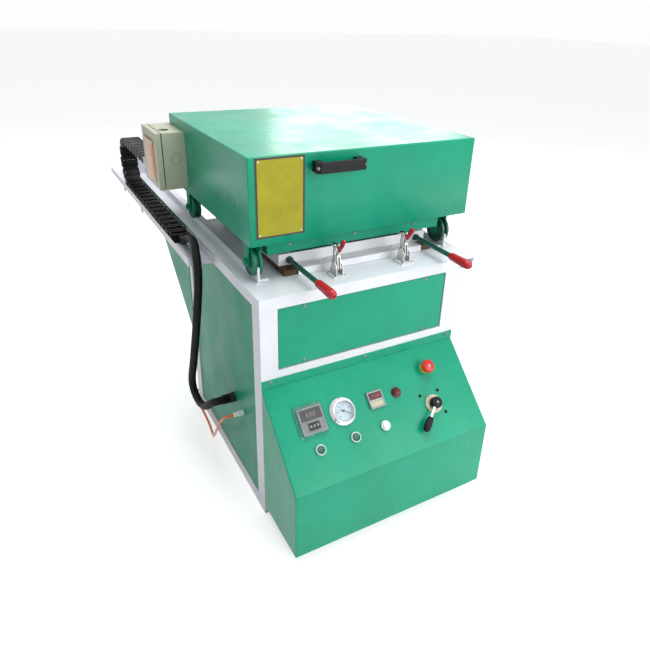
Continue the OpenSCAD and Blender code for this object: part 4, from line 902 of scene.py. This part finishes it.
# %% Clear cover
def cover_shell(work, w=0.080, h=0.083, t=0.0011, high=0.0112, foot=0.0002):
    outer = rounded(w, h, 0.003)
    inside = rounded(w - 2 * t, h - 2 * t, 0.0022)
    place = on_slope(105.5, 113.5, 0)
    loops = [[work.verts.new(place @ Vector((x, y, z))) for x, y in ring]
             for ring, z in ((outer, foot), (outer, high), (inside, high - t), (inside, foot))]
    for a, b in ((0, 1), (2, 3), (3, 0)):
        for k in range(len(outer)):
            n = (k + 1) % len(outer)
            work.faces.new([loops[a][k], loops[a][n], loops[b][n], loops[b][k]])
    work.faces.new(loops[1])
    work.faces.new(loops[2][::-1])


piece_of("controller_clear_cover", mesh_from(cover_shell), clear, "cabinet")

# %% [markdown]
# ## Timer
# Red lit digits stand above four small keys. The digits glow a little, so that they read as lit in any light.

# %% Timer face and keys
slope_plate("timer_display", 312, 105, 41, 19, 6, 6.7, window_tint)
digits_on_slope("timer_digits", "1500", 312, 105.5, 8.2, 5.2, 9, 1.1, 6.7, red_segment)
slope_plate("timer_lower_half", 312, 125.5, 41, 20, 6, 6.7, beige)
for i in range(4):
    key_u = 312 - 13.5 + 9 * i
    slope_plate(f"timer_key_{i}", key_u, 127, 6.4, 6, 6.7, 7.5, cream, 0.001)
    slope_plate(f"timer_mark_{i}", key_u, 120, 4.2, 1.6, 6.7, 6.85, ink, 0.0003)

# %% [markdown]
# ## Vacuum gauge
# The dial, the bright rim and the glass are turned on one axis. The ticks are one small block, copied round the
# scale, and every fifth is longer. The needle is the CAD's own and turns, so its cap rides on the needle's body.

# %% Dial, rim and glass
GAUGE = (203, 118)
turned_on_slope("gauge_dial", [(0.0288, 0), (0.0288, 0.0003), (0, 0.0003)], 64, *GAUGE, 4.05, dial)
rim_profile = [(0.0291, 0.0005), (0.0291, 0.0016), (0.0302, 0.0027), (0.0325, 0.0029), (0.0341, 0.0014),
               (0.0341, -0.009), (0.0331, -0.010)]
turned_on_slope("gauge_rim", rim_profile, 64, *GAUGE, 13.6, chrome)
turned_on_slope("gauge_glass", [(0, 0), (0.0287, 0), (0.0287, 0.001), (0, 0.001)], 64, *GAUGE, 12.2, clear)

# %% Scale, numbers and fittings of the gauge
SCALE_START, SCALE_TURN, TICKS, LONG_EVERY = -30, 255, 30, 5
face = on_slope(*GAUGE, 4.4)
ticks = []
for k in range(TICKS + 1):
    arm = slope_arm(math.radians(SCALE_START + SCALE_TURN * k / TICKS))
    radius = 0.0245 if k % LONG_EVERY else 0.0235
    ticks.append(as_place(face.translation + radius * arm, SLOPE_OUT, arm))
fine_tick = mesh_from(lambda work: add_block(work, (-0.0012, -0.00025, 0), (0.0012, 0.00025, 0.0001)))
scatter("gauge_ticks", fine_tick, ticks, ink, "cabinet")
main_tick = mesh_from(lambda work: add_block(work, (-0.002, -0.0005, 0), (0.002, 0.0005, 0.00012)))
scatter("gauge_main_ticks", main_tick, ticks[::LONG_EVERY], ink, "cabinet")


def gauge_numbers(work):
    for k in range(6):
        a = math.radians(SCALE_START + SCALE_TURN * k / 5)
        place = face @ Matrix.Translation((0.0178 * math.cos(a), 0.0178 * math.sin(a), 0))
        add_digit(work, place, str(2 * k % 10), 0.0026, 0.0042, 0.0006, 0.0001)


piece_of("gauge_numbers", mesh_from(gauge_numbers), ink, "cabinet", smooth=False)
notches = [as_place(on_slope(*GAUGE, 2.9).translation + 0.0365 * slope_arm(math.radians(a)), SLOPE_OUT, SLOPE_DOWN)
           for a in (90, 210, 330)]
scatter("gauge_flange_screws", screw_head(0.0022, 0.0012), notches, dull_steel, "cabinet")
turned_on_slope("gauge_needle_cap", [(0, 0.0007), (0.0014, 0.0005), (0.002, 0)], 20, *GAUGE, 10.4, brass,
                "gauge_needle")

# %% [markdown]
# ## Lamp, emergency stop and buttons
# The lamp's lens has small prisms, the stop's cap has grip ribs and each button a dished face in a bright ring.
# What is on a cap rides on that cap's body, so that it goes in when the button is pressed.

# %% Lamp
LAMP = (384, 114)
lamp_profile = [(0.0112, 0.0052), (0.0118, 0.0066), (0.014, 0.0064), (0.0152, 0.0044), (0.0152, 0.0001)]
turned_on_slope("lamp_ring", lamp_profile, 48, *LAMP, 0, maroon)


def hexagon(r):
    return [(r * math.cos(a), r * math.sin(a)) for a in np.linspace(0, math.tau, 6, endpoint=False)]


prism = mesh_from(lambda work: add_plate(work, hexagon(0.0011), 0.0007))
facets = [as_place(on_slope(*LAMP, 13.5).translation + r * slope_arm(-a), SLOPE_OUT, SLOPE_DOWN)
          for r, n in ((0.0, 1), (0.0028, 6), (0.0056, 12)) for a in np.linspace(0, math.tau, n, endpoint=False)]
scatter("lamp_facets", prism, facets, maroon, "cabinet")

# %% Emergency stop
STOP = (506, 71)
turned_on_slope("estop_disc", [(0, 0.0004), (0.0048, 0.0004), (0.0051, 0)], 32, *STOP, 32.9, silver_frame,
                "estop_button")
grips = []
for a in np.linspace(0, math.tau, 28, endpoint=False):
    arm = slope_arm(-a)
    grips.append(as_place(on_slope(*STOP, 24.5).translation + 0.0198 * arm, SLOPE_OUT, arm))
grip_rib = mesh_from(lambda work: add_block(work, (-0.0004, -0.0006, -0.0022), (0.0004, 0.0006, 0.0022)))
scatter("estop_grip_ribs", grip_rib, grips, cap_red, "estop_button")

# %% Push buttons
DISH = [(0.0096, 0.0001), (0.0092, 0.0006), (0.007, 0.0004), (0.004, 0.0001), (0, 0)]
BEZEL = [(0.0108, 0.0002), (0.0111, 0.0014), (0.0132, 0.0017), (0.0142, 0.0009), (0.0144, -0.001)]
for name, u, v, material in (("green_button_left", 105, 197, cap_green), ("green_button_right", 214, 196, cap_green),
                             ("white_button", 313, 193, cap_white)):
    turned_on_slope(name + "_dish", DISH, 36, u, v, 11.7, material, name)
    turned_on_slope(name + "_ring", BEZEL, 48, u, v, 6, bezel_ring)

# %% [markdown]
# ## Hand valve
# The lever is three parts on the real valve: a hub, a bright rod screwed into it and a moulded grip. They are three
# turned pieces, because one mesh could have only one clean material, and the CAD's lever is replaced by them.

# %% Valve lever
VALVE = (490, 179)
LEVER_ANGLE = math.radians(224)
lever_at = frame_at(on_slope(*VALVE, 19).translation, SLOPE_OUT, slope_arm(LEVER_ANGLE))
hub_profile = [(0, 0.022), (0.0125, 0.022), (0.0155, 0.0205), (0.017, 0.018), (0.017, 0.004), (0.0155, 0.0015),
               (0.0155, 0)]
rod_profile = [(0.005, 0.013), (0.005, 0.051), (0.0045, 0.0515), (0, 0.0515)]
grip_profile = [(0, 0.0502), (0.0072, 0.0502), (0.0082, 0.0515), (0.0095, 0.056), (0.0102, 0.062), (0.0112, 0.074),
                (0.0114, 0.079), (0.0106, 0.087), (0.0085, 0.0925), (0.005, 0.0955), (0, 0.0958)]
for name, outline, seg, place, material, slot_name in (
        ("valve_hub", hub_profile, 48, on_slope(*VALVE, 6.3), black, "black_plastic"),
        ("valve_rod", rod_profile, 28, lever_at, chrome, "chrome"),
        ("valve_grip", grip_profile, 32, lever_at, black, "black_plastic")):
    made = piece_of(name, mesh_from(lambda work: add_lathe(work, outline, seg, place)), material, "valve_lever")
    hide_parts("valve_lever")
hub_screw = [as_place(on_slope(*VALVE, 28.3).translation, SLOPE_OUT, SLOPE_DOWN)]
scatter("valve_hub_screw", screw_head(0.0042, 0.002), hub_screw, dull_steel, "valve_lever")

# %% [markdown]
# ## Lifting grips
# Red plastic grips are pushed over the rods of the clamp frame. They swell towards the hand and end in a small hole.

# %% Lifting grips
lift_profile = [(0, 0), (0.0088, 0), (0.0104, 0.0012), (0.0114, 0.006), (0.0118, 0.02), (0.0124, 0.045),
                (0.0129, 0.06), (0.0126, 0.07), (0.0112, 0.0775), (0.0082, 0.0822), (0.0045, 0.0838),
                (0.0026, 0.084), (0.0026, 0.076), (0, 0.076)]
for side, x in (("left", -0.171), ("right", 0.257)):
    place = frame_at((x, -0.052, 0.745), UP, FRONT)
    grip = mesh_from(lambda work: add_lathe(work, lift_profile, 40, place))
    made = piece_of(f"{side}_lift_grip", grip, red, "clamp")
    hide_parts("lift_grips")

# %% [markdown]
# ## Toggle clamps
# A toggle clamp is a four-bar linkage of flat plates and rivets. The CAD nodes are right for base, arm and link. The
# handle is replaced by a bare plate and a red dipped grip, which is flat: rings that are narrower across the clamp.

# %% The toggle handle's plate and grip
KNEE, LINK_PIN = Vector((0, -0.0017, 0.0187)), Vector((0, -0.00908, 0.01708))
LEAN = math.radians(35)
HANDLE_ALONG = Vector((0, -math.sin(LEAN), math.cos(LEAN)))
PLATE_LEN, GRIP_FLAT, GRIP_SEG = 0.04, 0.62, 24
GRIP_RINGS = [(0.018, 0.0046), (0.021, 0.0062), (0.028, 0.0068), (0.038, 0.0074), (0.05, 0.0084), (0.058, 0.008),
              (0.0635, 0.0062), (0.066, 0.003)]


def add_bar(work, start, end, r, x0, x1):
    """A plate with two round ends between two points, standing across X."""
    turn = math.atan2(end.z - start.z, end.y - start.y)
    points = []
    for pin, first in ((start, math.pi / 2), (end, -math.pi / 2)):
        points += [(pin.y + r * math.cos(turn + a), pin.z + r * math.sin(turn + a))
                   for a in np.linspace(first, first + math.pi, 11)]
    add_plate(work, points, x1 - x0, across_x(x0))


def handle_bar(work, pivot):
    knee, pin, x = pivot + KNEE, pivot + LINK_PIN, pivot.x
    add_bar(work, knee, knee + PLATE_LEN * HANDLE_ALONG, 0.0045, x - 0.0025, x + 0.0025)
    add_bar(work, knee, pin, 0.0036, x - 0.0024, x + 0.0024)
    add_lathe(work, [(0, 0), (0.002, 0), (0.002, 0.01), (0, 0.01)], 20,
              frame_at(pin - Vector((0.005, 0, 0)), (0, 1, 0), RIGHT))


def flat_grip(work, pivot):
    at = frame_at(pivot + KNEE, RIGHT, HANDLE_ALONG)
    rings = []
    for z, r in GRIP_RINGS:
        rings.append([work.verts.new(at @ Vector((GRIP_FLAT * r * math.cos(a), r * math.sin(a), z)))
                      for a in np.linspace(0, math.tau, GRIP_SEG, endpoint=False)])
    for low, high in zip(rings, rings[1:]):
        for k in range(GRIP_SEG):
            n = (k + 1) % GRIP_SEG
            work.faces.new([low[k], low[n], high[n], high[k]])
    work.faces.new(rings[0][::-1])
    work.faces.new(rings[-1])


# %% Both toggle clamps
SPINDLE_Z, BASE_Y, BASE_Z = 0.045, 0.035, 0.717
TIP = [(0, -0.0002), (0.005, -0.0002), (0.0058, 0.0008), (0.006, 0.0058), (0.0054, 0.0072), (0, 0.0072)]
PAD = [(0.0436 * i, 0.0496 * j) for i, j in ((-0.5, -0.5), (0.5, -0.5), (0.5, 0.5), (-0.5, 0.5))]
for side, x in (("left", -0.068), ("right", 0.154)):
    pivot = Vector((x, 0.039, 0.752))
    tip_at = frame_at(pivot + Vector((0, 0.0037, SPINDLE_Z)), UP, (0, 1, 0))
    piece_of(f"{side}_spindle_tip", mesh_from(lambda work: add_lathe(work, TIP, 28, tip_at)), rubber,
             f"{side}_toggle_arm")
    nut_at = frame_at(pivot + Vector((0, -0.0048, SPINDLE_Z)), UP, FRONT)
    piece_of(f"{side}_spindle_nut", mesh_from(lambda work: add_plate(work, hexagon(0.0066), 0.0042, nut_at)), zinc,
             f"{side}_toggle_arm", bevel=0.0004)
    for part, build, material, slot_name in (("bar", handle_bar, zinc, "zinc"),
                                             ("grip", flat_grip, red, "red_grip")):
        made = piece_of(f"{side}_toggle_{part}", mesh_from(lambda work: build(work, pivot)), material,
                        f"{side}_toggle_handle", bevel=0.0003)
        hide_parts(f"{side}_toggle_handle")
    pins = [((x + s * 0.0111, pivot.y + dy, pivot.z + dz), (s, 0, 0), UP)
            for s in (-1, 1) for dy, dz in ((0, 0), (-0.01537, -0.0153))]
    rivet = mesh_from(lambda work: add_lathe(work, [(0, 0.0014), (0.0018, 0.0011), (0.0028, 0)], 16))
    scatter(f"{side}_base_rivets", rivet, pins, alloy, "cabinet")
    screws = [((x + i * 0.0165, BASE_Y + j * 0.0185, BASE_Z + 0.0002), UP, (1, 0.4, 0))
              for i in (-1, 1) for j in (-1, 1)]
    scatter(f"{side}_base_screws", screw_head(0.0034, 0.0018), screws, dull_steel, "cabinet")
    pad_at = Matrix.Translation((x, BASE_Y, BASE_Z))
    piece_of(f"{side}_base_paint", mesh_from(lambda work: add_plate(work, PAD, 0.0002, pad_at)), bright_white,
             "cabinet", smooth=False)

# %% [markdown]
# ## Switch box
# A pale frame stays on the box behind the amber flap, and a bright orange strip opens with the flap. A pressed
# ring marks the knock-out. It stands on the box's front face, which is read from the CAD nodes.

# %% Window frame, strip and knock-out
NODES_OF_BOX = ("switch_box_base", "switch_box_cover")


def window_frame(work):
    y0, y1, z0, z1 = 0.626, 0.731, 0.860, 0.978
    x0, x1, w = -0.3962, -0.3948, 0.006
    for a, b in (((y0 - w, z0 - w), (y1 + w, z0)), ((y0 - w, z0), (y0, z1)), ((y1, z0), (y1 + w, z1))):
        add_block(work, (x0, a[0], a[1]), (x1, b[0], b[1]))


piece_of("window_frame", mesh_from(window_frame), cream, "hood", bevel=0.0006)
piece_of("window_strip", mesh_from(lambda work: add_block(work, (-0.3989, 0.640, 0.872), (-0.3984, 0.662, 0.972))),
         orange_strip, "box_flap")
near_face = min(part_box(name)[0][1] for name in NODES_OF_BOX)
ring_at = frame_at((-0.337, near_face, 0.935), RIGHT, FRONT)
ring = [(0.0146, 0), (0.015, 0.0008), (0.0162, 0.0008), (0.0166, 0)]
piece_of("knock_out_ring", mesh_from(lambda work: add_lathe(work, ring, 48, ring_at)), grey_face, "hood")
print("switch box front face at y", round(near_face, 4))
